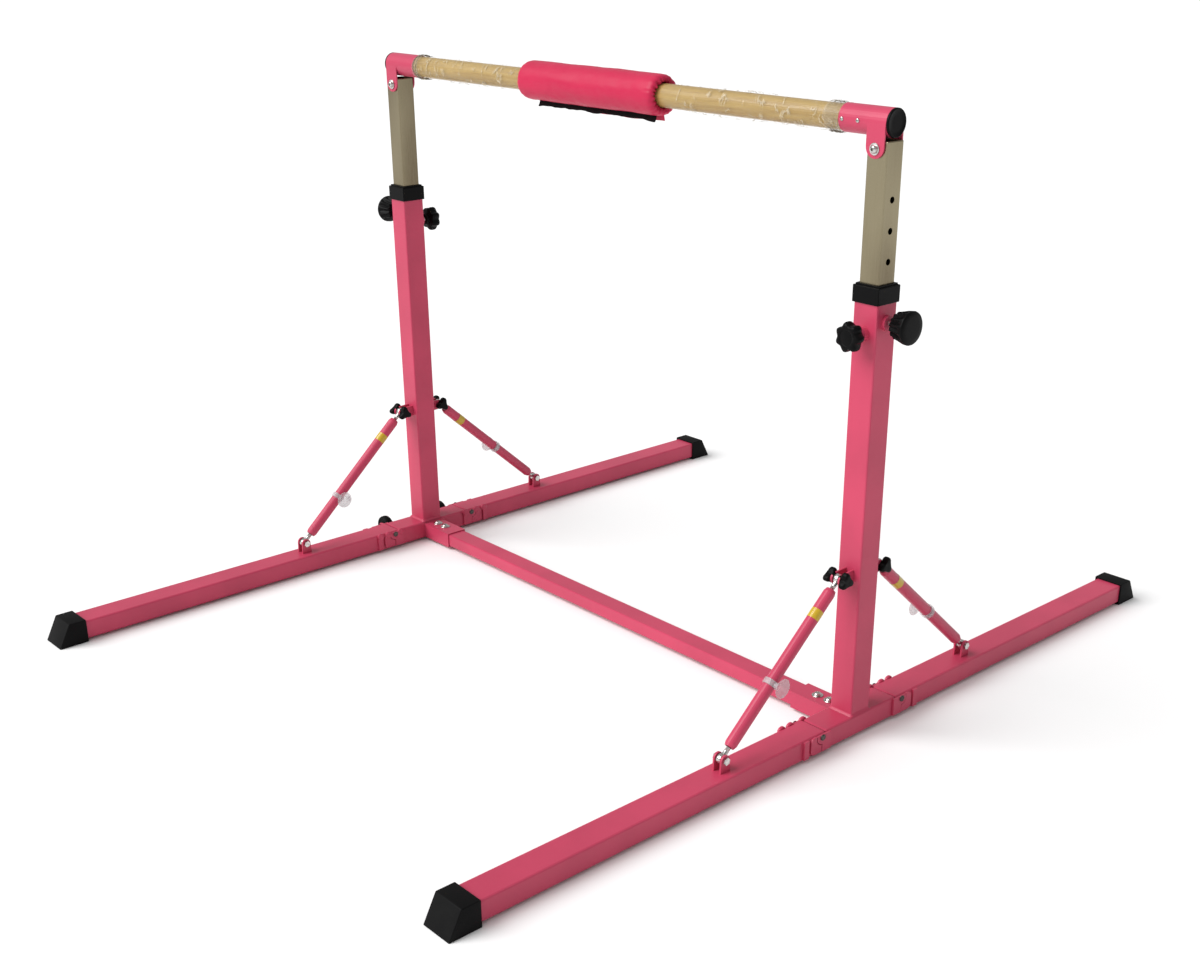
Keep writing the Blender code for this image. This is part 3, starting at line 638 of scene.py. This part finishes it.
# %% [markdown]
# ## Heads of bolts and screws
#
# Every bright fastener here is a button head with a hexagon socket on a washer. One function stacks
# washer, dome and socket. The socket's outline is a hexagon with as many points as the circles
# around it, so the skin stays closed and the recess is real.

# %% Button heads
DOME_STEPS = 5
DOME_SWEEP = math.radians(55.8)
DOME_FOOT = 0.15  # the straight part below the dome, as a share of the head's height
STUB_TOP = 0.0365
BEAM_BOLTS = (0.040, 0.066)  # from the stub's open end
RAIL_SCREWS = (0.0365, 0.066)  # from the post's axis


def button_head(body, place, radius, height, washer=0.0, washer_height=0.0012):
    """A domed head with a hexagon recess, on a washer, standing up local Z."""
    if washer:
        edge = washer_height * 0.2
        flat = [(radius * 0.5, 0), (washer - edge, 0), (washer, edge), (washer, washer_height - edge)]
        flat += [(washer - edge, washer_height), (radius * 0.5, washer_height)]
        loft(body, turned(flat), place)
    base = washer_height if washer else 0.0
    sections = [ring(radius, base), ring(radius, base + height * DOME_FOOT)]
    for step in range(1, DOME_STEPS + 1):
        angle = DOME_SWEEP * step / DOME_STEPS
        rise = DOME_FOOT + (1 - DOME_FOOT) * math.sin(angle) / math.sin(DOME_SWEEP)
        sections.append(ring(radius * math.cos(angle), base + height * rise))
    top = base + height
    sections += [hexagon(radius * 0.44, top), hexagon(radius * 0.42, top - 0.0002)]
    sections += [hexagon(radius * 0.40, base + height * 0.35), ring(radius * 0.08, base + height * 0.3)]
    loft(body, sections, place)


def socket_bolts(side):
    """The bolt that holds the rail's socket to the inner tube, with a head at each end."""
    node = f"pivot_bolt_{side}"
    centre = local(side, middle(node))
    reach = extent(node).y / 2
    head = 0.006
    body = bmesh.new()
    for direction, face in ((TO_MINUS_Y, -1), (TO_Y, 1)):
        place = SIDES[side] @ at(centre.x, face * (reach - head), centre.z) @ direction
        button_head(body, place, 0.0062, head - 0.0014, 0.0086, 0.0013)
    shank = SIDES[side] @ at(centre.x, 0, centre.z) @ TO_Y
    loft(body, turned([(0.0039, -reach + head + 0.0005), (0.0039, reach - head - 0.0005)], 24), shank)
    return piece(f"socket_bolt_{side}", body, "bright_plating", "bar", [node])


def beam_bolts(side):
    """Two button heads on top of the stub that holds the cross beam."""
    stub_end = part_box(f"base_{side}")
    reach = POST_AXIS - min(abs(stub_end[0].x), abs(stub_end[1].x))
    body = bmesh.new()
    for back_off in BEAM_BOLTS:
        place = SIDES[side] @ at(-reach + back_off, 0, STUB_TOP)
        button_head(body, place, 0.0068, 0.0042, 0.0098, 0.0014)
    return piece(f"beam_bolts_{side}", body, "bright_plating", "frame")


def rail_screws(side):
    """Two small screws through the socket's sleeve into the wood."""
    centre, radius = middle("rail"), extent(f"end_cap_{side}").y / 2
    body = bmesh.new()
    for inward in RAIL_SCREWS:
        button_head(body, SIDES[side] @ at(-inward, -radius, centre.z) @ TO_MINUS_Y, 0.0031, 0.0018)
    return piece(f"rail_screws_{side}", body, "bright_plating", "bar")


for side in SIDES:
    for maker in (socket_bolts, beam_bolts, rail_screws):
        print(maker(side).name)

# %% [markdown]
# ## End caps
#
# A push-in cap closes each sleeve. Its face is flat with a thin raised rim, which catches the light
# as a fine line.


# %% End caps
def end_cap(side):
    node = f"end_cap_{side}"
    thick = 0.0039
    outer = max(abs(v.x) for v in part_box(node)) - POST_AXIS
    radius = extent(node).y / 2
    place = SIDES[side] @ at(outer - thick, 0, middle("rail").z) @ TO_X
    profile = [(0.0181, -0.004), (0.0181, 0.0003), (radius, 0.0003), (radius, thick - 0.0011)]
    profile += [(radius - 0.0004, thick - 0.0004), (radius - 0.0012, thick), (radius - 0.0021, thick)]
    profile += [(radius - 0.0027, thick - 0.0005), (radius * 0.5, thick - 0.0005), (0.002, thick - 0.0005)]
    body = bmesh.new()
    loft(body, turned(profile, 72), place)
    return piece(f"sleeve_cap_{side}", body, "black_plastic", "bar", [node])


for side in SIDES:
    print(end_cap(side).name)

# %% [markdown]
# ## Braces: eyes, three-lobed knobs, labels and suction cups
#
# Each brace is a painted tube with an eye bolt in both ends. The lower eye is bolted between two
# ears on the leg, and the upper one between the post's ears, by a bolt with a three-lobed hand knob
# at each end. A brace's own frame has its origin at the lower bolt and local Z up the tube, so one
# description serves all four.


# %% The frame of each brace
def brace_frame(side, end):
    """Local Z runs from the lower bolt to the upper one, and local X stays level."""
    start = middle(f"leg_bolt_{side}_{end}")
    half_way = middle(f"brace_{side}_{end}") - start
    up = half_way.normalized()
    level = Vector((1, 0, 0))
    side_on = up.cross(level)
    turn = Matrix((level, side_on, up)).transposed().to_4x4()
    return Matrix.Translation(start) @ turn, half_way.length * 2


def eye_bolt(side, end, which):
    """A forged ring with rounded faces, and a shank that is threaded where it meets the tube."""
    node = f"{which}_eye_{side}_{end}"
    frame_of, length = brace_frame(side, end)
    if which == "upper":
        frame_of = frame_of @ at(0, 0, length) @ Matrix.Rotation(math.pi, 4, "X")
    body = bmesh.new()
    hole, outside, half = 0.0045, 0.0085, 0.0046
    tube, middle_radius = (outside - hole) / 2, (outside + hole) / 2
    section = []
    for step in range(20):
        angle = 2 * math.pi * step / 20
        swell = math.copysign(abs(math.cos(angle)) ** 0.7, math.cos(angle))
        rise = math.copysign(abs(math.sin(angle)) ** 0.6, math.sin(angle))
        section.append((middle_radius + tube * swell, half * rise))
    loft(body, turned(section, 40), frame_of @ TO_X, closed=True)
    profile = [(0.0030, 0.0062), (0.0046, 0.0078), (0.0041, 0.0100), (0.0040, 0.0140)]
    profile += threads(0.0040, 0.0004, 0.0146, 0.0007, 9) + [(0.0036, 0.0212)]
    loft(body, turned(profile, 28), frame_of)
    return piece(f"{which}_eye_bolt_{side}_{end}", body, "bright_plating", f"brace_{side}_{end}", [node])


# %% Hand knobs on the upper bolt
def lobe_knobs(side, end):
    node = f"brace_knobs_{side}_{end}"
    frame_of, length = brace_frame(side, end)
    half = extent(node).x / 2
    thick = 0.0118
    shape = [
        (0.46, -0.0030, 0.0), (0.48, -0.0006, 0.0), (0.66, 0.0, 0.2), (0.92, 0.0008, 0.9),
        (0.985, 0.0024, 1.0), (1.0, 0.0048, 1.0), (1.0, 0.0078, 1.0), (0.97, 0.0098, 1.0),
        (0.89, 0.0111, 0.9), (0.66, 0.0118, 0.3), (0.30, 0.0118, 0.0), (0.08, 0.0116, 0.0),
    ]
    knobs = bmesh.new()
    for direction, turn in ((TO_X, 0.35), (TO_MINUS_X, 1.2)):
        sections = [
            ring(0.0150 * wide, along, 72, waves=3, depth=0.0078 * deep, phase=turn)
            for wide, along, deep in shape
        ]
        outward = 1 if direction is TO_X else -1
        loft(knobs, sections, frame_of @ at(outward * (half - thick), 0, length) @ direction)
    made = piece(f"lobe_knobs_{side}_{end}", knobs, "black_plastic", node, [node])
    bolt = bmesh.new()
    shank = half - thick + 0.001
    loft(bolt, turned([(0.0039, -shank), (0.0039, shank)], 24), frame_of @ at(0, 0, length) @ TO_X)
    piece(f"knob_bolt_{side}_{end}", bolt, "bright_plating", node)
    return made


for side, end in LABELS:
    eye_bolt(side, end, "lower")
    eye_bolt(side, end, "upper")
    print(lobe_knobs(side, end).name, "and two eye bolts")

# %% Labels and suction cups on the braces
BRACE_RADIUS = extent("brace_right_front").x / 2
LABEL_LENGTH = 0.017
LABEL_FROM_TOP = 0.069
CUP_AT = {  # the distance up the brace, and the side it faces
    ("right", "front"): (0.140, 1), ("left", "front"): (0.117, -1),
    ("left", "back"): (0.146, 1), ("right", "back"): (0.146, -1),
}


def label(side, end):
    """A plain yellow band stuck round the tube."""
    frame_of, length = brace_frame(side, end)
    body = bmesh.new()
    near = length - LABEL_FROM_TOP - LABEL_LENGTH / 2
    edges = ((0.0001, 0.0), (0.0003, 0.0002), (0.0003, LABEL_LENGTH - 0.0002), (0.0001, LABEL_LENGTH))
    skin = [(BRACE_RADIUS + proud, near + along) for proud, along in edges]
    loft(body, turned(skin, 40), frame_of, caps=False)
    return piece(f"label_{side}_{end}", body, "yellow_label", f"brace_{side}_{end}")


def suction_cup(side, end):
    """A clear cup on a ring round the brace, which holds the folded brace still."""
    frame_of, _ = brace_frame(side, end)
    along, outward = CUP_AT[side, end]
    body = bmesh.new()
    band = [(BRACE_RADIUS + 0.0003, -0.005), (BRACE_RADIUS + 0.0022, -0.0045), (BRACE_RADIUS + 0.0026, 0)]
    band += [(BRACE_RADIUS + 0.0022, 0.0045), (BRACE_RADIUS + 0.0003, 0.005)]
    loft(body, turned(band, 40), frame_of @ at(0, 0, along), closed=True)
    bell = [(0.0050, 0.0), (0.0054, 0.004), (0.0050, 0.0075), (0.0075, 0.0100), (0.0125, 0.0125)]
    bell += [(0.0158, 0.0150), (0.0162, 0.0158), (0.0154, 0.0158), (0.0120, 0.0138), (0.0060, 0.0118)]
    bell.append((0.0010, 0.0112))
    facing = TO_X if outward * (1 if side == "right" else -1) > 0 else TO_MINUS_X
    tip = Matrix.Rotation(math.radians(-18), 4, "X")
    loft(body, turned(bell, 48), frame_of @ at(0, 0, along) @ tip @ facing @ at(0, 0, BRACE_RADIUS))
    return piece(f"suction_cup_{side}_{end}", body, "clear_vinyl", f"brace_{side}_{end}")


for side, end in LABELS:
    label(side, end)
    print(suction_cup(side, end).name)

# %% [markdown]
# ## Rubber feet
#
# Each leg ends in a rubber boot with a pocket, so the tube goes into it. The outer face slopes down
# to the floor. It is cut as a wedge with a real pocket, and then every edge is rounded by a Bevel
# with four segments, which is what makes rubber look soft.


# %% Feet with a pocket
def apply_modifiers(thing):
    """Bakes the modifiers into the mesh, so the piece keeps its final shape."""
    graph = bpy.context.evaluated_depsgraph_get()
    final = bpy.data.meshes.new_from_object(thing.evaluated_get(graph))
    thing.modifiers.clear()
    thing.data = final
    return final


def cube(body, low, high):
    """Adds a box to a working mesh, and returns its corners."""
    made = bmesh.ops.create_cube(body, size=1)
    size, centre = Vector(high) - Vector(low), (Vector(high) + Vector(low)) / 2
    for vertex in made["verts"]:
        vertex.co = centre + Vector(a * b for a, b in zip(vertex.co, size))
    return made["verts"]


def working_object(name, body):
    """An object for modifiers to work on. It is removed once they are baked in."""
    bmesh.ops.recalc_face_normals(body, faces=body.faces)
    mesh = bpy.data.meshes.new(name)
    body.to_mesh(mesh)
    body.free()
    thing = bpy.data.objects.new(name, mesh)
    bpy.context.scene.collection.objects.link(thing)
    return thing


FOOT_SLOPE = 0.0233
FOOT_WALL = 0.0034
FOOT_EDGE = 0.0022
LEG_END = 0.8085
LEG_HEIGHT = 0.0352
POCKET_AIR = 0.0002


def rubber_foot(side, end):
    """A wedge, hollowed for the end of its leg."""
    node = f"foot_{side}_{end}"
    low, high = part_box(node)
    outward = -1 if end == "front" else 1
    body = bmesh.new()
    for vertex in cube(body, low, high):
        sloping = vertex.co.z > middle(node).z and vertex.co.y * outward > middle(node).y * outward
        vertex.co.y -= outward * FOOT_SLOPE if sloping else 0
    boot = working_object("foot_work", body)
    pocket_body = bmesh.new()
    floor_of_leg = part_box(f"leg_{side}_{end}")[0].z
    first = Vector((low.x + FOOT_WALL, 0, floor_of_leg - POCKET_AIR))
    second = Vector((high.x - FOOT_WALL, outward * LEG_END, floor_of_leg + LEG_HEIGHT))
    corners = [Vector(pick(pair) for pair in zip(first, second)) for pick in (min, max)]
    cube(pocket_body, *corners)
    pocket = working_object("pocket_work", pocket_body)
    cut = boot.modifiers.new("pocket", "BOOLEAN")
    cut.operation, cut.object = "DIFFERENCE", pocket
    soften = boot.modifiers.new("soft_edges", "BEVEL")
    soften.width, soften.segments = FOOT_EDGE, 4
    soften.limit_method, soften.angle_limit = "ANGLE", math.radians(25)
    soft = bmesh.new()
    soft.from_mesh(apply_modifiers(boot))
    for used in (boot, pocket):
        bpy.data.objects.remove(used)
    return piece(f"rubber_{node}", soft, "black_rubber", f"leg_{side}_{end}", [node], sharp=50)


for side, end in LABELS:
    made = rubber_foot(side, end)
    print(made.name, len(made.data.polygons), "faces")

# %% [markdown]
# ## Transport wheels
#
# Two small wheels stand behind the left base, so that the folded bar can be rolled away. A tyre with
# a crowned tread, a groove on each side and a plain hub are one turned profile.


# %% Wheels
def wheel(end):
    node = f"wheel_{end}"
    low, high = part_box(node)
    half, radius = (high.y - low.y) / 2, (high.z - low.z) / 2
    side_profile = [
        (0.0045, 0.98), (0.0080, 1.0), (0.0095, 0.98), (0.0105, 0.80), (0.0150, 0.80), (0.0160, 0.93),
        (0.0185, 0.92), (radius - 0.0010, 0.70), (radius - 0.0002, 0.35),
    ]
    profile = [(reach, share * half) for reach, share in side_profile] + [(radius, 0)]
    profile += [(reach, -share * half) for reach, share in reversed(side_profile)]
    body = bmesh.new()
    loft(body, turned(profile, 56), Matrix.Translation(middle(node)) @ TO_Y, closed=True)
    return piece(f"tyre_{end}", body, "black_rubber", node, [node])


for end in ("front", "back"):
    print(wheel(end).name)

# %% [markdown]
# ## Welds
#
# A post isn't glued to its base: it is welded, and the bead shows as a narrow, slightly uneven
# fillet under the paint. A rounded square is swept up and in, with a ripple along it.


# %% Weld beads
SQUARENESS = 14.6  # 2 would make a circle
WELD_STEPS = 96
WELD_BEAD = ((0.0032, -0.0002), (0.0028, 0.0006), (0.0016, 0.0014), (0.0008, 0.0024), (0.0002, 0.0040))


def rounded_square(half, height, ripple=0.0):
    """A square with rounded corners, and an uneven edge when ripple is set."""
    points = []
    for step in range(WELD_STEPS):
        angle = 2 * math.pi * (step + 0.5) / WELD_STEPS
        across, along = math.cos(angle), math.sin(angle)
        reach = (abs(across) ** SQUARENESS + abs(along) ** SQUARENESS) ** (-1 / SQUARENESS)
        swell = ripple * noise.noise(Vector((step * 0.9, height * 400, 3.1)))
        x = across * reach * half + math.copysign(swell, across)
        y = along * reach * half + math.copysign(swell, along)
        points.append(Vector((x, y, height)))
    return points


def post_weld(side):
    half = POST_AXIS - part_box("post_right")[0].x  # half the post's width
    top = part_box(f"post_{side}")[0].z
    body = bmesh.new()
    sections = [
        rounded_square(half + outward, top + rise, ripple=0.0004 if outward > 0.001 else 0.0)
        for outward, rise in WELD_BEAD
    ]
    sections += [rounded_square(half - 0.001, top + rise) for rise in (0.0042, -0.0002)]
    loft(body, sections, SIDES[side], closed=True)
    return piece(f"post_weld_{side}", body, "pink_powder_coat", "frame")


for side in SIDES:
    print(post_weld(side).name)

# %% [markdown]
# ## Hinge knuckles
#
# The folding hinge is made of pressed plates, whose rolled knuckles stand a little above the tube
# along its inner top edge. One belongs to the base and two to the leg, so each rides with its own
# part when the leg folds.


# %% Knuckles along the hinge
KNUCKLE_INWARD = 0.0278  # from the post's axis
KNUCKLE_HEIGHT = 0.0365
KNUCKLE_SHAPE = [
    (0.0002, -0.0034), (0.0052, -0.0032), (0.0068, -0.0016),
    (0.0068, 0.0016), (0.0052, 0.0032), (0.0002, 0.0034),
]
LENGTHEN = Matrix.Diagonal((1.0, 1.2, 1.0, 1.0))


def knuckles(side, end):
    """One knuckle on the base and two on the leg, at these distances from the post's axis."""
    made = []
    for owner, places in (("frame", (0.0850,)), (f"leg_{side}_{end}", (0.1150, 0.1350))):
        body = bmesh.new()
        for along in places:
            place = SIDES[side] @ at(-KNUCKLE_INWARD, ENDS[side][end] * along, KNUCKLE_HEIGHT) @ TO_X
            loft(body, turned(KNUCKLE_SHAPE, 32), place @ LENGTHEN)
        made.append(piece(f"knuckles_{side}_{end}_{len(made)}", body, "pink_powder_coat", owner))
    return made


for side, end in LABELS:
    print([made.name for made in knuckles(side, end)])

# %% [markdown]
# ## The bar pad
#
# The pad is a foam sleeve in a coated cloth cover, closed underneath with hook-and-loop tape and
# gathered round the rail at both ends. Cloth simulation gives the cover its fullness: a slightly
# smaller sleeve is remeshed finely and blown up with a light pressure, and the swelling is capped.
# The gathers are added afterwards, since they are finer than the remesh keeps.

# %% Pad sizes
PAD_LOW, PAD_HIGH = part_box("bar_pad")
PAD_CENTRE = (PAD_LOW + PAD_HIGH) / 2
PAD_RADIUS = (PAD_HIGH.z - PAD_LOW.z) / 2
PAD_HALF = (PAD_HIGH.x - PAD_LOW.x) / 2
RAIL_RADIUS = extent("rail").y / 2
PAD_HOLE = RAIL_RADIUS + 0.0016
MOST_SWELL = 0.0024
SWELL_FRAMES = 20
GATHERS = 22


def pad_blank():
    """A sleeve with round shoulders, a little smaller than the finished pad."""
    outer, half = PAD_RADIUS - 0.0016, PAD_HALF - 0.0018
    shoulder = 0.0125
    profile = [(PAD_HOLE, -half + 0.004), (PAD_HOLE + 0.001, -half + 0.001)]
    for step in range(7):
        angle = math.pi / 2 * step / 6
        reach = outer - shoulder + shoulder * math.sin(angle)
        profile.append((reach, -half + shoulder * (1 - math.cos(angle))))
    count = 24
    profile += [(outer, -half + shoulder + (half - shoulder) * 2 * step / count) for step in range(1, count)]
    mirrored = [(reach, -height) for reach, height in reversed(profile[:9])]
    body = bmesh.new()
    loft(body, turned(profile + mirrored, 64), Matrix.Translation(PAD_CENTRE) @ TO_X, closed=True)
    return body


# %% Inflate the cover
def inflate(thing, voxel, pressure, cap):
    """Remeshes a closed shape, blows it up as cloth, and keeps every point near where it began."""
    remesh = thing.modifiers.new("even_mesh", "REMESH")
    remesh.mode, remesh.voxel_size = "VOXEL", voxel
    apply_modifiers(thing)
    start = [vertex.co.copy() for vertex in thing.data.vertices]
    cloth = thing.modifiers.new("swell", "CLOTH")
    cloth.settings.use_pressure = True
    cloth.settings.uniform_pressure_force = pressure
    cloth.settings.effector_weights.gravity = 0
    cloth.settings.quality = 5
    cloth.settings.tension_stiffness = 12
    cloth.settings.bending_stiffness = 0.6
    scene = bpy.context.scene
    for step in range(1, SWELL_FRAMES + 1):
        scene.frame_set(step)
    apply_modifiers(thing)
    scene.frame_set(1)
    for vertex, before in zip(thing.data.vertices, start):
        moved = vertex.co - before
        if moved.length > cap:
            vertex.co = before + moved * (cap / moved.length)


def smooth_step(value, low, high):
    """0 at low and 1 at high. Low may be the larger of the two."""
    share = min(1.0, max(0.0, (value - low) / (high - low)))
    return share * share * (3 - 2 * share)


def gather(point):
    """Pleats on the shoulders, dents along the sleeve, and the seam under it."""
    offset = point - PAD_CENTRE
    radius = math.hypot(offset.y, offset.z)
    angle = math.atan2(offset.z, offset.y)
    to_end = PAD_HALF - abs(offset.x)
    hand = math.copysign(1, offset.x)
    outward = Vector((0, offset.y / radius, offset.z / radius))
    wander = 1.6 * noise.noise(Vector((math.cos(angle) * 1.4, math.sin(angle) * 1.4, hand * 2.0)))
    pleat = 0.5 + 0.5 * math.cos(GATHERS * angle + 3 * wander)
    depth = smooth_step(to_end, 0.030, 0.002) * (0.35 + 0.65 * smooth_step(radius, PAD_RADIUS, PAD_HOLE))
    on_shoulder = smooth_step(to_end, 0.034, 0.004)
    grip = 1.0 if hand > 0 else 0.45
    towards_hole = smooth_step(radius, PAD_RADIUS, PAD_HOLE + 0.003)
    move = outward * (-0.0007 * grip * pleat * on_shoulder * smooth_step(radius, PAD_HOLE, PAD_RADIUS))
    move += Vector((-hand * 0.0050 * grip * pleat * depth * towards_hole, 0, 0))
    drift = noise.noise(Vector((offset.x * 16, math.cos(angle) * 1.3, math.sin(angle) * 1.3)))
    fine = noise.noise(Vector((offset.x * 60, math.cos(angle) * 3, math.sin(angle) * 3)))
    outer_skin = smooth_step(radius, PAD_HOLE + 0.004, PAD_RADIUS - 0.004)
    move += outward * ((0.0011 * drift + 0.00035 * fine - 0.0004) * outer_skin)
    below = smooth_step(-offset.z, PAD_RADIUS * 0.80, PAD_RADIUS)
    return move + outward * (-0.0012 * below * outer_skin)


def bar_pad():
    pad = working_object("pad_work", pad_blank())
    inflate(pad, 0.004, 4.0, MOST_SWELL)
    subdivide = pad.modifiers.new("fine", "SUBSURF")
    subdivide.levels = subdivide.render_levels = 1
    apply_modifiers(pad)
    body = bmesh.new()
    body.from_mesh(pad.data)
    bpy.data.objects.remove(pad)
    for vertex in body.verts:
        vertex.co += gather(vertex.co)
    cover = piece("pad_cover", body, "pink_cover_cloth", "pad", ["bar_pad"], sharp=180)
    return cover


cover = bar_pad()
print("pad cover", len(cover.data.vertices), "points, box", [round(v, 3) for v in cover.dimensions])

# %% [markdown]
# ## Sheets: tape, cover edge and wrapping film
#
# A sheet is a grid of points laid by a formula and given a real thickness. The tape under the pad
# hangs by one edge and waves along the other. The wrapping film is a tube of clear plastic, loose on
# the rail: long shallow creases, and tight gathers where it is pushed up against the sleeves.


# %% A sheet from a formula
def sheet_piece(name, finish, rides_on, counts, where, thickness, replaces=(), around=False):
    """where(u, v) gives a point for u and v from 0 to 1. A tube joins its last column to its first."""
    rows, columns = counts
    body = bmesh.new()
    grid = []
    for i in range(rows + 1):
        across = columns if around else columns + 1
        grid.append([body.verts.new(where(i / rows, j / columns)) for j in range(across)])
    for i in range(rows):
        for j in range(columns):
            after = (j + 1) % len(grid[0])
            body.faces.new((grid[i][j], grid[i][after], grid[i + 1][after], grid[i + 1][j]))
    bmesh.ops.recalc_face_normals(body, faces=body.faces)
    shell = working_object("sheet_work", body)
    thick = shell.modifiers.new("thickness", "SOLIDIFY")
    thick.thickness, thick.offset = thickness, 0
    solid = bmesh.new()
    solid.from_mesh(apply_modifiers(shell))
    bpy.data.objects.remove(shell)
    return piece(name, solid, finish, rides_on, replaces, sharp=70)


def wave(along, seed, scale):
    return noise.noise(Vector((along * scale, seed, 0.5 * seed)))


# %% Tape and cover edge under the pad
FLAP_LOW, FLAP_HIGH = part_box("pad_flap")
FLAP_SPAN = FLAP_HIGH.x - FLAP_LOW.x
FLAP_DROP = FLAP_HIGH.z - FLAP_LOW.z


def tape_point(u, v):
    """The tape leaves the pad's underside, leans forward and ends in a wavy edge."""
    x = FLAP_LOW.x + FLAP_SPAN * u
    droop = 0.62 + 0.34 * wave(u, 4.0, 9) + 0.12 * wave(u, 6.0, 24)
    droop += 0.30 * smooth_step(u, 0.90, 1.0) + 0.20 * smooth_step(u, 0.05, 0.0)
    lean = 0.0035 * wave(u, 7.0, 7) + 0.0015 * wave(u, 9.0, 26)
    drop = FLAP_DROP * (0.58 * droop * v - 0.34 * (1 - v))
    return Vector((x, -0.0035 + lean * v - 0.004 * v * v, FLAP_HIGH.z - drop + 0.0006))


def edge_point(u, v):
    """The cover's own edge, a pink strip behind the tape."""
    x = FLAP_LOW.x + 0.004 + (FLAP_SPAN + 0.006) * u
    curl = 0.0020 * wave(u, 2.0, 8)
    drop = FLAP_DROP * (0.62 * v * (0.75 + 0.3 * wave(u, 5.0, 6)) - 0.30 * (1 - v))
    return Vector((x, 0.0035 + curl * v + 0.002 * v, FLAP_HIGH.z - drop + 0.0004))


tape = sheet_piece("pad_tape", "hook_and_loop", "pad", (150, 8), tape_point, 0.0016, ["pad_flap"])
edge = sheet_piece("cover_edge", "pink_cover_cloth", "pad", (150, 6), edge_point, 0.0009)
print("tape and cover edge,", round(FLAP_SPAN, 3), "m long")

# %% Wrapping film on the rail
RAIL_CENTRE = middle("rail")
SLEEVE_INNER = {"right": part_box("bar_socket_right")[0].x, "left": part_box("bar_socket_left")[1].x}
FILM_CLEAR = 0.0007


def round_rail(x, angle, proud):
    """A point that stands this proud of the rail, at an angle round it."""
    outward = Vector((0, math.cos(angle), math.sin(angle)))
    return RAIL_CENTRE + Vector((x, 0, 0)) + (RAIL_RADIUS + proud) * outward


def film_point(start, finish, seed):
    """A loose tube: long creases that twist round the rail, and gathers near the sleeve."""

    def where(u, v):
        angle = 2 * math.pi * v
        x = start + (finish - start) * u
        twist = angle + 5.0 * x
        long_crease = abs(noise.noise(Vector((x * 7, math.cos(twist) * 1.5, math.sin(twist) * 1.5 + seed))))
        fold = noise.noise(Vector((x * 22, math.cos(angle) * 2.0, math.sin(angle) * 2.0 - seed)))
        sag = 0.5 - 0.5 * math.sin(angle)
        loose = 0.0010 + 0.0034 * long_crease + 0.0012 * max(0, fold)
        swell = math.sin(math.pi * min(1, max(0, u)))
        reach = FILM_CLEAR + loose * (0.25 + 0.75 * swell) + 0.0016 * sag * swell
        near = smooth_step(abs(x - finish), 0.050, 0.006)
        ripple = math.sin(x * 820 + 2.4 * math.sin(angle + seed) + 1.5 * math.sin(2 * angle))
        reach += near * (0.0018 + 0.0016 * ripple + 0.0008 * fold)
        return round_rail(x, angle, reach)

    return where


def film(name, finish_name, counts, where, thickness, looseness, length):
    """A tube of film. Its flat width, once round the rail at this looseness, is worked out but not used."""
    made = sheet_piece(name, finish_name, "bar", counts, where, thickness, around=True)
    width = 2 * math.pi * (RAIL_RADIUS + looseness)
    return made


def wrap(name, start, finish, seed):
    """The film between the pad and a sleeve. Its length, with a little taken up by creases, is worked out
    but not used.
    """
    where, length = film_point(start, finish, seed), abs(finish - start) * 1.04
    film(name, "wrapping_film", (240, 72), where, 0.00008, 0.0028, length)


wrap("film_right", PAD_HIGH.x + 0.004, SLEEVE_INNER["right"] - 0.001, 1.3)
wrap("film_left", PAD_LOW.x - 0.004, SLEEVE_INNER["left"] + 0.001, 6.1)
print("film between the pad and each sleeve")


# %% Ruffles of film at the sleeves
def ruffle(side, length):
    """The bunched end of the film, pushed up over the rail's last few centimetres."""
    inward = -1 if side == "right" else 1
    finish = SLEEVE_INNER[side] + inward * -0.0008

    def where(u, v):
        angle = 2 * math.pi * v
        ragged = 0.0035 * noise.noise(Vector((math.cos(angle) * 2.5, math.sin(angle) * 2.5, 8.0 + inward)))
        x = finish + inward * (length * (1 - u) + ragged * (1 - u))
        turn = angle + 0.9 * math.sin(3 * angle)
        ripple = math.sin(620 * (x + 0.004 * math.sin(2 * angle + 1)) + 1.2 * math.sin(turn))
        crumple = noise.noise(Vector((x * 160, math.cos(angle) * 3.2, math.sin(angle) * 3.2)))
        reach = 0.0024 + 0.0011 * ripple + 0.0013 * crumple + 0.0008 * math.sin(math.pi * u)
        return round_rail(x, angle, reach)

    name, flat_length = f"film_ruffle_{side}", length * 1.35
    return film(name, "gathered_film", (90, 96), where, 0.0001, 0.0032, flat_length)


for side, length in (("right", 0.030), ("left", 0.016)):
    print(ruffle(side, length).name)
